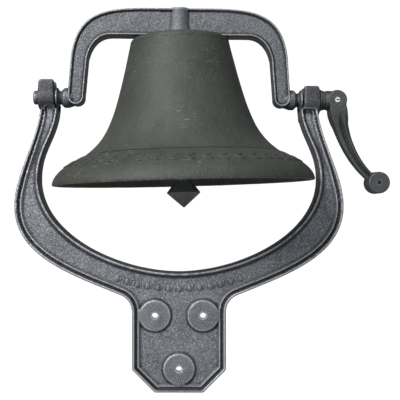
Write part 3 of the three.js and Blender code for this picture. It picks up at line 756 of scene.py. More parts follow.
# ---------------------------------------------------------------- post bracket
@dataclass
class PostBracket:
    """The lyre-shaped casting with its two open bearings and its bolting plate."""

    place: Place
    foundry: Foundry
    depth: float = 28.0
    bearing_x: float = BEARING_X
    bearing_length: float = 19.0
    neck_width: float = 20.0
    neck_offset: float = 4.0
    arm_top: float = 7.0
    rim_top: float = 14.5
    panel_top: float = 10.5
    belly_x: float = 188.0
    belly_drop: float = 125.0
    opening_x: float = 160.0
    opening_drop: float = 94.0
    opening_bottom: float = 201.0
    shoulder: Vec2 = (89.0, -218.0)
    shoulder_slope: float = math.radians(22)
    throat: float = 20.0
    plate_x: float = 54.0
    plate_bottom: float = 338.0
    chamfer: float = 26.0
    panel_depth: float = 5.0
    saddle: float = 14.0
    horns: dict[Side, float] = field(default_factory=lambda: {Side.LEFT: 20.0, Side.RIGHT: 15.5})
    barrel_drops: dict[Side, float] = field(default_factory=lambda: {Side.LEFT: 0.0, Side.RIGHT: 3.8})
    slot: float = 8.5
    relief: float = 13.5
    boss: float = 18.2
    boss_rise: float = 3.0
    bolt_hole: float = 3.25
    beads_below: float = 18.5
    beads_reach: float = 72.0
    bead_count: int = 37
    web: Vec2 = (-8.8, 13.5)
    pocket_edge: float = 84.0
    bolt_core: float = 10.5
    bolt_wall: float = 8.0
    bolts: tuple[Vec2, ...] = ((27.5, -250.0), (-27.5, -250.0), (0.0, -311.0))
    recipe: Casting = Casting(voxel=0.9, smoothing=2, lump_depth=0.3, grain_depth=0.16, kept=0.5)

    # inset from the edge and depth under the front, from the edge to the panel
    outer_section: tuple[Vec2, ...] = (
        (0.0, 2.4), (0.3, 1.5), (0.7, 0.8), (1.3, 0.2), (2.1, 0.0), (2.8, 0.3), (3.4, 1.3), (4.0, 3.0),
        (4.6, 4.9), (5.2, 5.5), (5.8, 5.0), (6.3, 3.3), (7.0, 2.3), (7.8, 2.4), (8.8, 4.3), (10.4, 5.0))
    inner_section: tuple[Vec2, ...] = (
        (0.0, 2.2), (0.3, 1.4), (0.7, 0.7), (1.2, 0.2), (1.9, 0.0), (2.6, 0.2), (3.2, 0.9), (3.9, 2.3),
        (4.7, 4.0), (5.6, 5.3), (6.6, 5.9), (7.6, 5.8), (8.6, 5.3), (9.6, 5.0), (10.3, 5.0), (11.0, 5.0))

    def squeeze(self, inset: float) -> Callable[[float], float]:
        """Narrows the section where the arm is narrow, under its bearing."""
        return lambda z: -inset * (1 - 0.22 * smooth_step(-105, -45, z))

    def outside(self, inset: float, top: float) -> list[Vec2]:
        """Gives the right half of the outside edge, from the arm's top down to the plate's lower edge."""
        neck = self.bearing_x - self.neck_offset + self.neck_width / 2
        slope = self.shoulder_slope
        high = 0.345 * (self.belly_drop - self.saddle)
        low = 0.53 * (-self.shoulder[1] - self.belly_drop)
        reach = 0.56 * (self.belly_x - self.shoulder[0])
        start, belly = (neck, -self.arm_top), (self.belly_x, -self.belly_drop)
        upper = bezier(start, (neck, start[1] - high), (belly[0], belly[1] + high), belly, 64)
        handle = (self.shoulder[0] + reach * math.cos(slope), self.shoulder[1] + reach * math.sin(slope))
        lower = bezier(belly, (belly[0], belly[1] - low), handle, self.shoulder, 80)
        squeeze = self.squeeze(inset)
        points = shifted(self.clipped(upper, top), squeeze) + shifted(lower, squeeze)[1:]
        middle = self.plate_x + self.throat
        drop = (self.throat - (middle - self.shoulder[0]) * math.sin(slope)) / math.cos(slope)
        radius = self.throat + inset
        for i in range(1, 25):
            angle = QUARTER + slope + (QUARTER - slope) * i / 24
            points.append((middle + radius * math.cos(angle),
                           self.shoulder[1] - drop + radius * math.sin(angle)))
        mitre = inset * math.tan(math.pi / 8)
        points.append((self.plate_x - inset, -self.plate_bottom + self.chamfer + mitre))
        points.append((self.plate_x - self.chamfer - mitre, -self.plate_bottom + inset))
        return points

    def opening(self, inset: float, top: float) -> list[Vec2]:
        """Gives the right half of the opening's edge, from its lowest point up to the arm's top."""
        neck = self.bearing_x - self.neck_offset - self.neck_width / 2
        wide, low = (self.opening_x, -self.opening_drop), (0.0, -self.opening_bottom)
        side = 0.61 * (self.opening_bottom - self.opening_drop)
        high = 0.47 * (self.opening_drop - self.saddle)
        lower = bezier(low, (0.43 * wide[0], low[1]), (wide[0], wide[1] - side), wide, 80)
        end = (neck, -self.arm_top)
        upper = bezier(wide, (wide[0], wide[1] + high), (neck, end[1] - high), end, 48)
        upper = self.clipped(upper, top)
        return shifted(lower, self.squeeze(inset)) + shifted(upper, self.squeeze(inset))[1:]

    def clipped(self, path: Path, top: float) -> Path:
        """Moves the points of a path that lie over the arm's top down to it."""
        return [((x, min(z, -top)), ahead) for (x, z), ahead in path]

    def ring(self, outer: Vec2, inner: Vec2, top: float) -> Ring:
        """Gives the whole outline at one station of the section.

        Args:
            outer: Inset and y at the outside edge.
            inner: Inset and y at the opening's edge.
            top: Drop of the arms' top under the axle.

        Returns:
            The ring.
        """
        right = [(x, inner[1], z) for x, z in self.opening(inner[0], top)]
        right += [(x, outer[1], z) for x, z in self.outside(outer[0], top)]
        left = [(-x, y, z) for x, y, z in reversed(right)]
        return [Vector(point) for point in right + left[:-1]]

    def body(self) -> Solid:
        """Builds the arms and the plate, with the rims and the sunk panel of their front."""
        front = -self.depth
        back_edge = ((1.2, 0.0), (0.3, -0.6), (0.0, -2.0))
        rings = [self.ring(station, station, self.arm_top) for station in back_edge]
        for share in (0.35, 0.6, 0.8):
            top = self.arm_top + (self.rim_top - self.arm_top) * share ** 2
            rings.append(self.ring((0.3 * share, front * share), (0.3 * share, front * share), top))
        for (out, out_depth), (inn, inn_depth) in zip(self.outer_section, self.inner_section):
            sunk = max(out_depth, inn_depth) / self.panel_depth if out > 2.1 else 0.0
            top = self.rim_top + (self.panel_top - self.rim_top) * min(1.0, sunk)
            rings.append(self.ring((out + 0.2, front + out_depth), (inn + 0.2, front + inn_depth), top))
        return Solid().skin(rings, self.place.on_post())

    def bearings(self, solid: Solid) -> None:
        """Adds the bearing barrels and their horns."""
        inner = self.bearing_x - self.bearing_length / 2
        outer = self.bearing_x + self.bearing_length / 2
        r = self.saddle
        barrel = [(r - 1.6, inner), (r - 0.5, inner + 0.5), (r, inner + 2), (r, outer - 2.5),
                  (r - 0.6, outer - 0.7), (r - 1.8, outer)]
        for side, horn in self.horns.items():
            drop = self.barrel_drops[side]
            place = self.place.on_bearing(side) @ Matrix.Diagonal((side.value, 1, 1, 1))
            solid.turn(barrel, place @ Matrix.Translation((0, 0, -drop)) @ Axis.X.value)
            stations = ((-3.0 - drop, 0.0, 0.0), (4.0, 0.0, 0.0), (horn - 3, 0.3, 0.8), (horn - 1, 0.8, 1.6),
                        (horn, 1.8, 2.8))
            tower = []
            for z, trim, lean in stations:
                tower.append(rounded_box(inner + trim, outer - lean, -r + 1.2 + trim, r - 1.2 - trim, z, 2.4))
            solid.skin(tower, place)
            # a web under the barrel, flush with the sunk panel, carries it on the arm
            neck = self.bearing_x - self.neck_offset
            half = self.neck_width / 2 - 0.8
            levels = (-20.0 - drop, -drop)
            web = [rounded_box(neck - half, neck + half, *self.web, z, 3.0) for z in levels]
            solid.skin(web, place)

    def bosses(self, solid: Solid) -> None:
        """Adds the three round bolt bosses."""
        floor = -self.depth + self.panel_depth
        r, rise = self.boss, self.boss_rise
        profile = [(r + 0.4, 3.0), (r + 0.4, 0.0), (r + 0.2, -0.3), (r, -0.9), (r - 0.05, -rise + 0.7),
                   (r - 0.3, -rise + 0.2), (r - 0.8, -rise), (r - 6.0, -rise - 0.05), (2.0, -rise - 0.1)]
        for x, z in self.bolts:
            spot = self.place.on_post() @ Matrix.Translation((x, floor, z))
            solid.turn(profile, spot @ Axis.Y.value)

    def pocket(self) -> Solid:
        """Builds the hollow in the back of each arm."""
        rings = []
        for y, inset in ((3.0, 5.2), (-1.0, 6.0), (-11.0, 6.6), (-13.0, 7.6), (-14.0, 9.2)):
            top = self.rim_top + 7
            inner = [point for point in self.opening(inset, top) if point[0] > self.pocket_edge]
            outer = [point for point in self.outside(inset, top) if point[0] > self.pocket_edge]
            rings.append((y, inner, outer))
        inner_count = min(len(inner) for _, inner, _ in rings)
        outer_count = min(len(outer) for _, _, outer in rings)
        skin = []
        for y, inner, outer in rings:
            skin.append([Vector((x, y, z)) for x, z in inner[-inner_count:] + outer[:outer_count]])
        return Solid().skin(skin, self.place.on_post()).mirror()

    def channels(self) -> Solid:
        """Builds the stretch of the sunk panel that runs up under each barrel."""
        floor = -self.depth + self.panel_depth
        neck = self.bearing_x - self.neck_offset
        half = self.neck_width / 2 - 5.4
        solid = Solid()
        for side in Side:
            top = self.barrel_drops[side] + self.panel_top + (1 + side.value) * self.place.fall
            levels = (-30.0, -top)
            rings = [rounded_box(neck - half, neck + half, floor - 15.0, floor, z, 1.5) for z in levels]
            solid.skin(rings, self.place.on_post() @ Matrix.Diagonal((side.value, 1, 1, 1)))
        return solid

    def cores(self) -> Solid:
        """Builds the recess behind each bolt boss."""
        face = -self.depth + self.panel_depth - self.boss_rise
        r = self.bolt_core
        profile = [(r - 1.5, face + self.bolt_wall), (r, face + self.bolt_wall + 1.5), (r + 0.6, 4.0)]
        solid = Solid()
        for x, z in self.bolts:
            spot = self.place.on_post() @ Matrix.Translation((x, 0, z))
            solid.turn(profile, spot @ Axis.Y.value)
        return solid

    def cuts(self) -> list[Solid]:
        """Builds the bearing slots, the room for the yoke's collars and the bolt holes."""
        inner = self.bearing_x - self.bearing_length / 2
        outer = self.bearing_x + self.bearing_length / 2
        turn = [math.pi + math.pi * i / 32 for i in range(33)]
        cup = [(self.slot * math.cos(a), self.slot * math.sin(a)) for a in turn]
        cup += [(self.slot, 30.0), (-self.slot, 30.0)]
        rings = [[Vector((x, y, z)) for y, z in cup] for x in (inner - 3, outer + 3)]
        slots = Solid().skin(rings, self.place.on_axle()).mirror()
        span = [(self.relief, inner - self.neck_width - 6), (self.relief, inner)]
        reliefs = Solid().turn(span, self.place.on_axle() @ Axis.X.value).mirror()
        holes = Solid()
        for x, z in self.bolts:
            spot = self.place.on_post() @ Matrix.Translation((x, 0, z))
            bore = [(self.bolt_hole, -self.depth - 4), (self.bolt_hole, 4.0)]
            holes.turn(bore, spot @ Axis.Y.value, 40)
        return [slots, reliefs, holes]

    def build(self) -> None:
        """Makes the casting and its row of beads."""
        solid = self.body()
        self.bearings(solid)
        self.bosses(solid)
        piece = self.foundry.cast("bracket_casting", solid, self.recipe, Finish.BRACKET_IRON, 3.0,
                                  hollows=[self.pocket(), self.cores(), self.channels()], cuts=self.cuts())
        deliver(piece, "bracket", "bracket_iron", "post_bracket")
        deliver(self.row_of_beads(), "bracket", "bracket_iron")

    def row_of_beads(self) -> bpy.types.Object:
        """Makes the raised row of beads and reels under the opening.

        Returns:
            The finished row.
        """
        edge = self.opening(self.beads_below, self.rim_top)
        right = [point for point in edge if point[0] <= self.beads_reach]
        path = mirrored(right)[:-1] + right
        place = self.place.on_post()
        mesh = bpy.data.meshes.new("bead_path")
        points = [place @ Vector((x, self.panel_depth - self.depth, z)) * MM for x, z in path]
        mesh.from_pydata(points, [(i, i + 1) for i in range(len(points) - 1)], [])
        piece = link("bead_row", mesh)
        iron = self.foundry.finishes[Finish.BRACKET_IRON]
        self.foundry.beads.put_on(piece, count=self.bead_count, material=iron)
        return settled(piece)


# ---------------------------------------------------------------- yoke
@dataclass
class Yoke:
    """The arch over the bell, with a trunnion on each leg and a boss for the bell's stud."""

    place: Place
    foundry: Foundry
    half: float = 12.0
    leg_outer: float = 127.5
    leg_taper: float = 3.5
    leg_foot: float = 19.0
    leg_top: float = 20.0
    crown: float = 102.6
    beam: float = 31.6
    outer_reach: float = 54.0
    inner_reach: float = 27.0
    foot_drop: float = -0.6
    boss: float = 14.0
    pad: float = 0.8
    seat_drop: float = 2.2
    stud_hole: float = 6.3
    collar: float = 12.5
    leg_boss: float = 11.5
    neck: float = 8.5
    journal: float = 8.0
    bearing_inner: float = 142.5
    left_reach: float = 167.5
    right_reach: float = 187.2
    cross_hole: float = 3.3
    cross_x: float = CRANK_X
    recipe: Casting = Casting(voxel=0.77, smoothing=2, grain_depth=0.14)
    section: tuple[Vec2, ...] = (
        (0.0, 1.5), (0.25, 0.8), (0.7, 0.25), (1.2, 0.0), (1.8, 0.2), (2.3, 0.9), (2.8, 2.0), (3.3, 2.8),
        (4.0, 3.1), (4.8, 2.8))

    def outside(self, inset: float) -> list[Vec2]:
        """Gives the right half of the outer edge, from the foot to the crown."""
        corner_x, corner_z, beam_x = self.leg_outer - self.leg_taper, self.crown - 56, 30.0
        path = bezier((corner_x, corner_z), (corner_x - 0.12 * self.outer_reach, corner_z + self.outer_reach),
                      (beam_x + 0.95 * self.outer_reach, self.crown), (beam_x, self.crown), 56)
        taper = (corner_x - self.leg_outer) / corner_z
        leg = [(self.leg_outer - inset + taper * z, z) for z in range(0, 44, 4)]
        top = [(x, self.crown - inset) for x in (20.0, 10.0)]
        return leg + shifted(path, lambda z: inset) + top

    def inside(self, inset: float) -> list[Vec2]:
        """Gives the right half of the inner edge, from the crown to the foot."""
        low = self.crown - self.beam
        foot = self.leg_outer - self.leg_foot
        x = self.leg_outer - self.leg_taper - self.leg_top + 1
        path = bezier((x - self.inner_reach, low), (x - 0.42 * self.inner_reach, low),
                      (x - 3, low - 0.45 * self.inner_reach), (x, low - self.inner_reach), 40)
        beam = [(x, low + inset) for x in range(0, 77, 4)]
        leg = [(x + (foot - x) * t / 8 + inset, low - self.inner_reach + (2 - low + self.inner_reach) * t / 8)
               for t in range(1, 9)]
        return beam + shifted(path, lambda z: inset) + leg

    def ring(self, inset: float, y: float) -> Ring:
        """Gives the whole outline at one station of the section."""
        centre = self.leg_outer - self.leg_foot / 2
        radius = self.leg_foot / 2 - inset
        foot = []
        for i in range(1, 24):
            angle = math.pi + math.pi * i / 24
            foot.append((centre + radius * math.cos(angle), radius * math.sin(angle) - self.foot_drop))
        right = self.inside(inset) + foot + self.outside(inset)
        return [Vector((x, y, z)) for x, z in right + mirrored(right)[:-1]]

    def body(self) -> Solid:
        """Builds the arch with a rim and a sunk panel on both faces."""
        half = self.half
        front = [self.ring(inset + 0.2, -half + depth) for inset, depth in self.section]
        back = [self.ring(inset + 0.2, half - depth) for inset, depth in reversed(self.section)]
        return Solid().skin(back + [self.ring(0.0, 1.0), self.ring(0.0, -1.0)] + front, self.place.on_axle())

    def crown_boss(self, solid: Solid) -> None:
        """Adds the upright boss with a flared foot."""
        seat = self.crown - self.beam - self.seat_drop - 3
        r = self.boss
        top = self.crown + self.pad
        profile = [(r, seat), (r + 1.6, seat + 4), (r + 0.6, seat + 10), (r - 0.3, seat + 16),
                   (r - 0.6, top - 8), (r - 0.3, top - 3), (r - 0.5, top - 0.6), (r - 1.1, top)]
        solid.turn(profile, self.place.on_axle())

    def trunnion(self, solid: Solid, side: Side, reach: float) -> None:
        """Adds the boss, waist, collar and journal on one leg."""
        face = self.leg_outer
        waist = face + self.neck
        collar = self.bearing_inner - 1
        root = self.leg_outer - self.leg_foot / 2
        c, b, j = self.collar, self.leg_boss, self.journal
        profile = [
            (b - 3, root), (b, face - 0.5), (b, face + 3.4), (b - 0.7, face + 5.2), (b - 2.4, face + 6.6),
            (j - 0.2, waist - 0.8), (j - 0.4, waist + 0.4), (c - 3.8, collar - 3.6), (c - 1.3, collar - 2.2),
            (c - 0.5, collar - 1.2), (c - 0.8, collar), (j, collar), (j, reach - 1.8), (j - 0.6, reach - 0.6),
            (j - 1.8, reach)]
        flip = Matrix.Diagonal((side.value, 1, 1, 1))
        solid.turn(profile, self.place.on_axle() @ flip @ Axis.X.value)

    def cuts(self) -> list[Solid]:
        """Builds the bell's leaning seat, the stud's bore and the hole for the crank's pin."""
        seat = self.place.on_axle() @ Vector((0, 0, self.crown - self.beam - self.seat_drop))
        leaning = Matrix.Translation(seat) @ self.place.lean
        below = Solid().skin([rounded_box(-20, 20, -20, 20, z, 4.0) for z in (-30.0, 0.0)], leaning)
        bore = Solid().turn([(self.stud_hole, -60.0), (self.stud_hole, 80.0)], leaning)
        spot = self.place.on_axle() @ Matrix.Translation((self.cross_x, 0, 0))
        through = [(self.cross_hole, -self.half), (self.cross_hole, self.half)]
        cross = Solid().turn(through, spot @ Axis.Y.value, 40)
        return [below, bore, cross]

    def build(self) -> None:
        """Makes the casting."""
        solid = self.body()
        self.crown_boss(solid)
        self.trunnion(solid, Side.LEFT, self.left_reach)
        self.trunnion(solid, Side.RIGHT, self.right_reach)
        piece = self.foundry.cast("yoke_casting", solid, self.recipe, Finish.YOKE_IRON, 7.0, cuts=self.cuts())
        deliver(piece, "swing", "yoke_iron", "yoke")


# ---------------------------------------------------------------- bell
@dataclass
class Bell:
    """The cast bell, a turned shell."""

    place: Place
    foundry: Foundry
    hinge_drop: float = 46.4
    mouth: float = 150.0
    height: float = 166.0
    crown: float = 57.0
    corner: float = 6.0
    crown_wall: float = 9.0
    wall: float = 6.5
    bow: float = 10.0
    lip: float = 4.0
    segments: int = 264
    quick_segments: int = 120
    stud_hole: float = 6.3
    leaf_station: int = 9
    recipe: Casting = Casting(voxel=1.5, lump_depth=0.5, lump_size=14.0, grain_depth=0.1, reach=2.5,
                              facing=0.0)

    def outer(self) -> list[Vec2]:
        """Gives the outside from the crown to the lip, as radius and height pairs."""
        r, h, c = self.mouth, self.height, self.crown
        turn = [QUARTER - QUARTER * i / 8 for i in range(9)]
        points = [(x, 0.0) for x in (self.stud_hole + 2, 20.0, 32.0, 44.0)]
        k = self.corner
        points += [(c - k + k * math.cos(a), -k + k * math.sin(a)) for a in turn]
        waist = bezier((c, -self.corner), (c + 20, -0.56 * h), (c + 28, -0.68 * h), (0.75 * r, -0.8 * h), 56)
        points += [point for point, _ in waist[1:]]
        points += [(0.768 * r, -0.806 * h)]
        points += [point for point, _ in self.flare(32)]
        return points + [(r - 0.3, -h + 0.5), (r - 1.0, -h)]

    def flare(self, steps: int) -> Path:
        """Gives the skirt that spreads to the lip, with its directions."""
        r, h = self.mouth, self.height
        start, end = (0.785 * r, -0.812 * h), (r, -h + 1.5)
        return bezier(start, (0.9 * r, -0.868 * h), (r - 2, -0.915 * h), end, steps)

    def inner(self) -> list[Vec2]:
        """Gives the inside from the lip to the crown, as radius and height pairs."""
        r, h, c = self.mouth, self.height, self.crown
        throat = (0.72 * r, -0.845 * h)
        bow = bezier((r - self.lip, -h), (r - self.bow, -0.93 * h), (0.8 * r, -0.89 * h), throat, 24)
        waist = bezier(throat, (c + 22, -0.7 * h), (c + 14 - self.wall, -0.56 * h),
                       (c - self.wall, -self.crown_wall - 8), 44)
        points = [point for point, _ in bow] + [point for point, _ in waist[1:]]
        for i in range(1, 7):
            angle = QUARTER * i / 6
            points.append((c - self.wall - 8 + 8 * math.cos(angle),
                           -self.crown_wall - 8 + 8 * math.sin(angle)))
        return points + [(x, -self.crown_wall) for x in (30.0, 16.0, self.stud_hole + 1)]

    def build(self) -> None:
        """Makes the bell."""
        bore = [(self.stud_hole, -self.crown_wall + 0.8), (self.stud_hole, -0.8)]
        outline = self.outer() + self.inner() + bore
        outline.append(outline[0])
        mesh = bpy.data.meshes.new("bell_profile")
        mesh.from_pydata([Vector((x, 0, z)) * MM for x, z in outline], [], [])
        piece = link("bell_casting", mesh)
        segments = self.segments
        self.foundry.shell.put_on(piece, segments=segments, points=len(outline),
                                  material=self.foundry.finishes[Finish.BELL_IRON])
        settled(piece)
        outward(piece.data)
        hang = self.place.on_hinge() @ Matrix.Translation((0, 0, self.hinge_drop))
        shift = Matrix.Translation(hang.translation * MM) @ hang.to_3x3().to_4x4()
        piece.data.transform(shift)
        self.foundry.rough_skin(piece, self.recipe, Finish.BELL_IRON, 11.0)
        self.blacken_inside(piece, hang.translation * MM)
        deliver(piece, "swing", "bell_iron", "bell")
        deliver(self.leaves(shift), "swing", "bell_iron")

    def leaves(self, shift: Matrix) -> bpy.types.Object:
        """Makes the faint ring of leaves on the flare.

        Args:
            shift: Moves it from the crown's flat to its place.

        Returns:
            The finished ring.
        """
        (radius, height), (along, down) = self.flare(32)[self.leaf_station]
        piece = link("leaf_garland", bpy.data.meshes.new("leaf_garland"))
        self.foundry.garland.put_on(
            piece, radius=radius * MM, drop=-height * MM, slope=math.atan2(-down, along),
            material=self.foundry.finishes[Finish.BELL_IRON])
        settled(piece)
        piece.data.transform(shift)
        return piece

    def blacken_inside(self, piece: bpy.types.Object, crown: Vector) -> None:
        """Gives the faces that look towards the bell's axis the near-black finish of painted shade."""
        piece.data.materials.append(self.foundry.finishes[Finish.BELL_INSIDE])
        down = self.place.lean @ Vector((0, 0, -1))
        lip = (self.mouth - self.lip) * MM
        for face in piece.data.polygons:
            arm = face.center - crown
            arm -= down * arm.dot(down)
            if face.normal.dot(arm) < 0 or face.normal.dot(down) > 0.9 and arm.length < lip:
                face.material_index = 1


# ---------------------------------------------------------------- clapper
@dataclass
class Clapper:
    """The clapper: an eye, a tapered rod and a faceted ball in one casting."""

    place: Place
    foundry: Foundry
    drop: float = 130.2
    eye: float = 9.5
    tab: float = 4.1
    hole: float = 4.3
    rod_top: float = 6.5
    rod_bottom: float = 8.5
    ball: float = 19.5
    ball_top: float = 14.0
    ball_tip: float = 17.0
    under_fork: float = 11.3
    facets: int = 8
    recipe: Casting = Casting(voxel=0.6, smoothing=2, lump_depth=0.25, grain_depth=0.08, reach=1.2,
                              facing=0.0)

    def build(self) -> None:
        """Makes the casting."""
        place = self.place.on_hinge()
        z = -self.drop
        solid = Solid()
        solid.turn([(0.8, z - self.ball_tip), (self.ball, z - 0.5), (self.ball, z + 0.5),
                    (self.rod_bottom + 0.5, z + self.ball_top)], place, self.facets)
        fork = -self.under_fork
        solid.turn([(self.rod_bottom, z), (self.rod_bottom, z + self.ball_top), (self.rod_top, z + 60),
                    (self.rod_top, fork - 8), (self.tab, fork), (self.tab, -5.0)], place, 48)
        solid.turn([(self.eye - 0.8, -self.tab), (self.eye, -self.tab + 0.8), (self.eye, self.tab - 0.8),
                    (self.eye - 0.8, self.tab)], place @ Axis.X.value)
        hole = Solid().turn([(self.hole, -20.0), (self.hole, 20.0)], place @ Axis.X.value, 48)
        piece = self.foundry.cast("clapper_casting", solid, self.recipe, Finish.CLAPPER_IRON, 5.0,
                                  cuts=[hole])
        deliver(piece, "clapper", "clapper_iron", "clapper")


# ---------------------------------------------------------------- crank
@dataclass
class Crank:
    """The pull lever on the right-hand trunnion."""

    place: Place
    foundry: Foundry
    hub_x: float = CRANK_X
    hub: float = 11.25
    hub_half: float = 11.5
    sleeve: float = 11.25
    sleeve_start: float = 164.3
    lever_top: float = 23.0
    lever_bottom: float = 11.0
    lever_half: float = 6.5
    reach: float = 48.4
    drop: float = 94.2
    knob: float = 13.0
    knob_half: float = 12.0
    knob_taper: float = 0.6
    rope_hole: float = 2.5
    bore: float = 8.3
    bore_end: float = 187.5
    cross_hole: float = 3.3
    groove_width: float = 1.9
    groove_depth: float = 3.2
    recipe: Casting = Casting(voxel=0.62, smoothing=2, lump_depth=0.3, grain_depth=0.1, reach=1.3)

    def lever(self, solid: Solid, place: Matrix) -> None:
        """Adds the curved lever, a rounded bar with a groove down both faces."""
        out, down = self.reach, -self.drop
        path = bezier((0.0, 0.0), (0.085 * out, 0.4 * down), (0.41 * out, 0.79 * down), (out, down), 60)
        rings = []
        for i, ((x, z), (u, v)) in enumerate(path):
            t = i / 60
            slim = (self.lever_bottom + (self.lever_top - self.lever_bottom) * (1 - t) ** 1.4) / 2
            half = min(9.6 + 6.5 * t, slim) - 0.9 * smooth_step(0.2, 0.27, t)
            depth = self.hub_half - 0.3 + (self.lever_half - self.hub_half + 0.3) * smooth_step(0.08, 0.42, t)
            groove = self.groove_depth * smooth_step(0.12, 0.26, t)
            ring = []
            for across, deep in self.lever_section(half, depth, groove):
                ring.append(Vector((x - v * across, deep, z + u * across)))
            rings.append(ring)
        solid.skin(rings, place)

    def lever_section(self, half: float, depth: float, groove: float) -> list[Vec2]:
        """Gives the lever's section as across and y pairs, anticlockwise."""
        edge = min(2.6, half * 0.4)
        front = []
        for i in range(33):
            across = -half + edge * 0.12 + (2 * half - edge * 0.24) * i / 32
            side = max(0.0, abs(across) - (half - edge)) / edge
            crown = depth - edge * 0.9 * (1 - math.sqrt(max(0.0, 1 - side * side)))
            dip = groove * math.exp(-(((across - 0.05 * half) / self.groove_width) ** 2))
            dip += 0.5 * groove * smooth_step(0.55 * half, 0.75 * half, across)
            front.append((across, -(crown - dip)))
        return front + [(across, -deep) for across, deep in reversed(front)]

    def build(self) -> None:
        """Makes the casting."""
        axle = self.place.on_axle()
        place = axle @ Matrix.Translation((self.hub_x, 0, 0))
        solid = Solid()
        self.lever(solid, place)
        r, h = self.hub, self.hub_half
        hub = [(r - 1.6, -h), (r - 0.5, -h + 0.4), (r, -h + 1.6), (r, h - 1.6), (r - 0.5, h - 0.4),
               (r - 1.6, h)]
        solid.turn(hub, place @ Axis.Y.value)
        s, a = self.sleeve, self.sleeve_start
        sleeve = [(s - 0.9, a), (s - 0.2, a + 0.4), (s, a + 1.2), (s - 0.2, a + 2.6), (s - 1.0, a + 3.3),
                  (s - 0.9, a + 4.1), (s, a + 4.9), (s, self.hub_x)]
        solid.turn(sleeve, axle @ Axis.X.value)
        k, d = self.knob, self.knob_half
        spot = place @ Matrix.Translation((self.reach, 0, -self.drop))
        front = k - self.knob_taper
        knob = [(front - 1, -d), (front, -d + 0.7), (k - 0.2, d - 1.2), (k - 1.2, d)]
        solid.turn(knob, spot @ Axis.Y.value)
        rope = Solid().turn([(self.rope_hole, -d - 5), (self.rope_hole, d + 5)], spot @ Axis.Y.value, 40)
        bore = Solid().turn([(self.bore, a - 5), (self.bore, self.bore_end)], axle @ Axis.X.value, 48)
        cross = Solid().turn([(self.cross_hole, -h - 5), (self.cross_hole, h + 5)], place @ Axis.Y.value, 40)
        piece = self.foundry.cast("crank_casting", solid, self.recipe, Finish.CRANK_IRON, 9.0,
                                  cuts=[rope, bore, cross])
        deliver(piece, "swing", "crank_iron", "crank")


# ---------------------------------------------------------------- studio
@dataclass(frozen=True)
class Lamp:
    """A square lamp: its place and size in metres, its power in watts and its colour."""

    name: str
    spot: tuple[float, float, float]
    size: float
    power: float
    tint: tuple[float, float, float] = (1.0, 1.0, 1.0)

    def hang(self, aim: Vector) -> None:
        """Makes the lamp, looking at a point."""
        data = bpy.data.lights.new(self.name, "AREA")
        data.size, data.energy, data.color = self.size, self.power, self.tint
        lamp = link(self.name, data)
        lamp.location = self.spot
        lamp.rotation_euler = (aim - lamp.location).to_track_quat("-Z", "Y").to_euler()


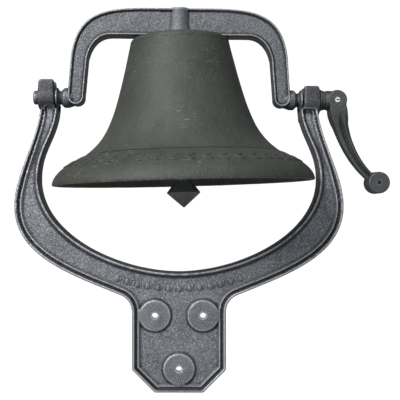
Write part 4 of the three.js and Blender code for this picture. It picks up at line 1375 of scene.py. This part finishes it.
@dataclass
class Studio:
    """The camera, the lights, the pale floor and the world."""

    place: Place
    lens: float = 67.8
    shift: Vec2 = (0.05, 0.0125)
    distance: float = 0.87
    below_axle: float = 0.1222
    aside: float = 0.0012
    floor_drop: float = 0.4
    floor_half: float = 6.0
    floor_glow: float = 0.95
    world_light: float = 0.26
    world_seen: float = 1.05
    lamps: tuple[Lamp, ...] = (
        Lamp("key", (-1.05, -1.45, 1.2), 0.6, 46.0, (1.0, 0.99, 0.97)),
        Lamp("fill", (1.4, -1.7, 0.6), 1.2, 6.0, (0.96, 0.98, 1.0)),
        Lamp("top", (-0.2, -0.6, 1.7), 0.8, 9.0),
        Lamp("low", (-0.5, -1.7, -0.3), 0.7, 4.0))

    def camera(self) -> None:
        """Makes the camera: level, looking along +Y, a little off the middle."""
        data = bpy.data.cameras.new("camera")
        data.lens = self.lens
        data.shift_x, data.shift_y = self.shift
        camera = link("camera", data)
        axle = self.place.axle * MM
        camera.location = (axle.x + self.aside, axle.y - self.distance, axle.z - self.below_axle)
        camera.rotation_euler = (QUARTER, 0, 0)
        bpy.context.scene.camera = camera

    def floor(self) -> None:
        """Makes the pale floor."""
        top = CAD_BOX[0][2] - self.floor_drop
        half = self.floor_half
        corners = ((-half, -half), (half, -half), (half, half), (-half, half))
        rings = [[Vector((x, y, z)) / MM for x, y in corners] for z in (top - 0.02, top)]
        piece = Solid().skin(rings).piece("floor")
        material = bpy.data.materials.new("pale_floor")
        material.use_nodes = True
        shader = material.node_tree.nodes["Principled BSDF"]
        shader.inputs["Base Color"].default_value = (0.9, 0.9, 0.9, 1)
        shader.inputs["Roughness"].default_value = 0.9
        shader.inputs["Emission Color"].default_value = (1, 1, 1, 1)
        shader.inputs["Emission Strength"].default_value = self.floor_glow
        piece.data.materials.append(material)
        piece.visible_diffuse = piece.visible_glossy = False

    def world(self) -> None:
        """Makes a white surround that lights the object less than it shows."""
        world = bpy.data.worlds.new("studio")
        bpy.context.scene.world = world
        world.use_nodes = True
        world.node_tree.nodes.clear()
        g = Graph(world.node_tree)
        seen = g.add("ShaderNodeLightPath").outputs["Is Camera Ray"]
        dim = g.add("ShaderNodeBackground", {"Color": (0.94, 0.97, 1.0, 1), "Strength": self.world_light})
        white = g.add("ShaderNodeBackground", {"Color": (1, 1, 1, 1), "Strength": self.world_seen})
        both = g.add("ShaderNodeMixShader", {0: seen, 1: dim.outputs[0], 2: white.outputs[0]})
        g.add("ShaderNodeOutputWorld", {0: both.outputs[0]})

    def build(self) -> None:
        """Sets the studio up."""
        self.camera()
        self.world()
        self.floor()
        bpy.context.scene.view_settings.view_transform = "Standard"
        for lamp in self.lamps:
            lamp.hang(self.place.axle * MM)


def dress_small_parts(foundry: Foundry) -> None:
    """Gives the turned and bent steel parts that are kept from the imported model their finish."""
    turned = ("crown_stud", "crown_washer", "crown_lock_washer", "crown_nut", "clapper_pin",
              "clapper_cotter", "crank_washer")
    wanted = {name: Finish.STEEL for name in turned}
    wanted["crank_pin"] = Finish.PIN_STEEL
    for name, finish in wanted.items():
        node = frame["nodes"][name]
        node.data.materials.clear()
        node.data.materials.append(foundry.finishes[finish])


def main() -> None:
    """Builds the scene."""
    logging.basicConfig(level=logging.INFO, format="%(name)s: %(message)s")
    place = Place()
    Studio(place).build()
    foundry = Foundry()
    PostBracket(place, foundry).build()
    Yoke(place, foundry).build()
    Bell(place, foundry).build()
    Clapper(place, foundry).build()
    Crank(place, foundry).build()
    dress_small_parts(foundry)


if __name__ == "__main__":
    main()
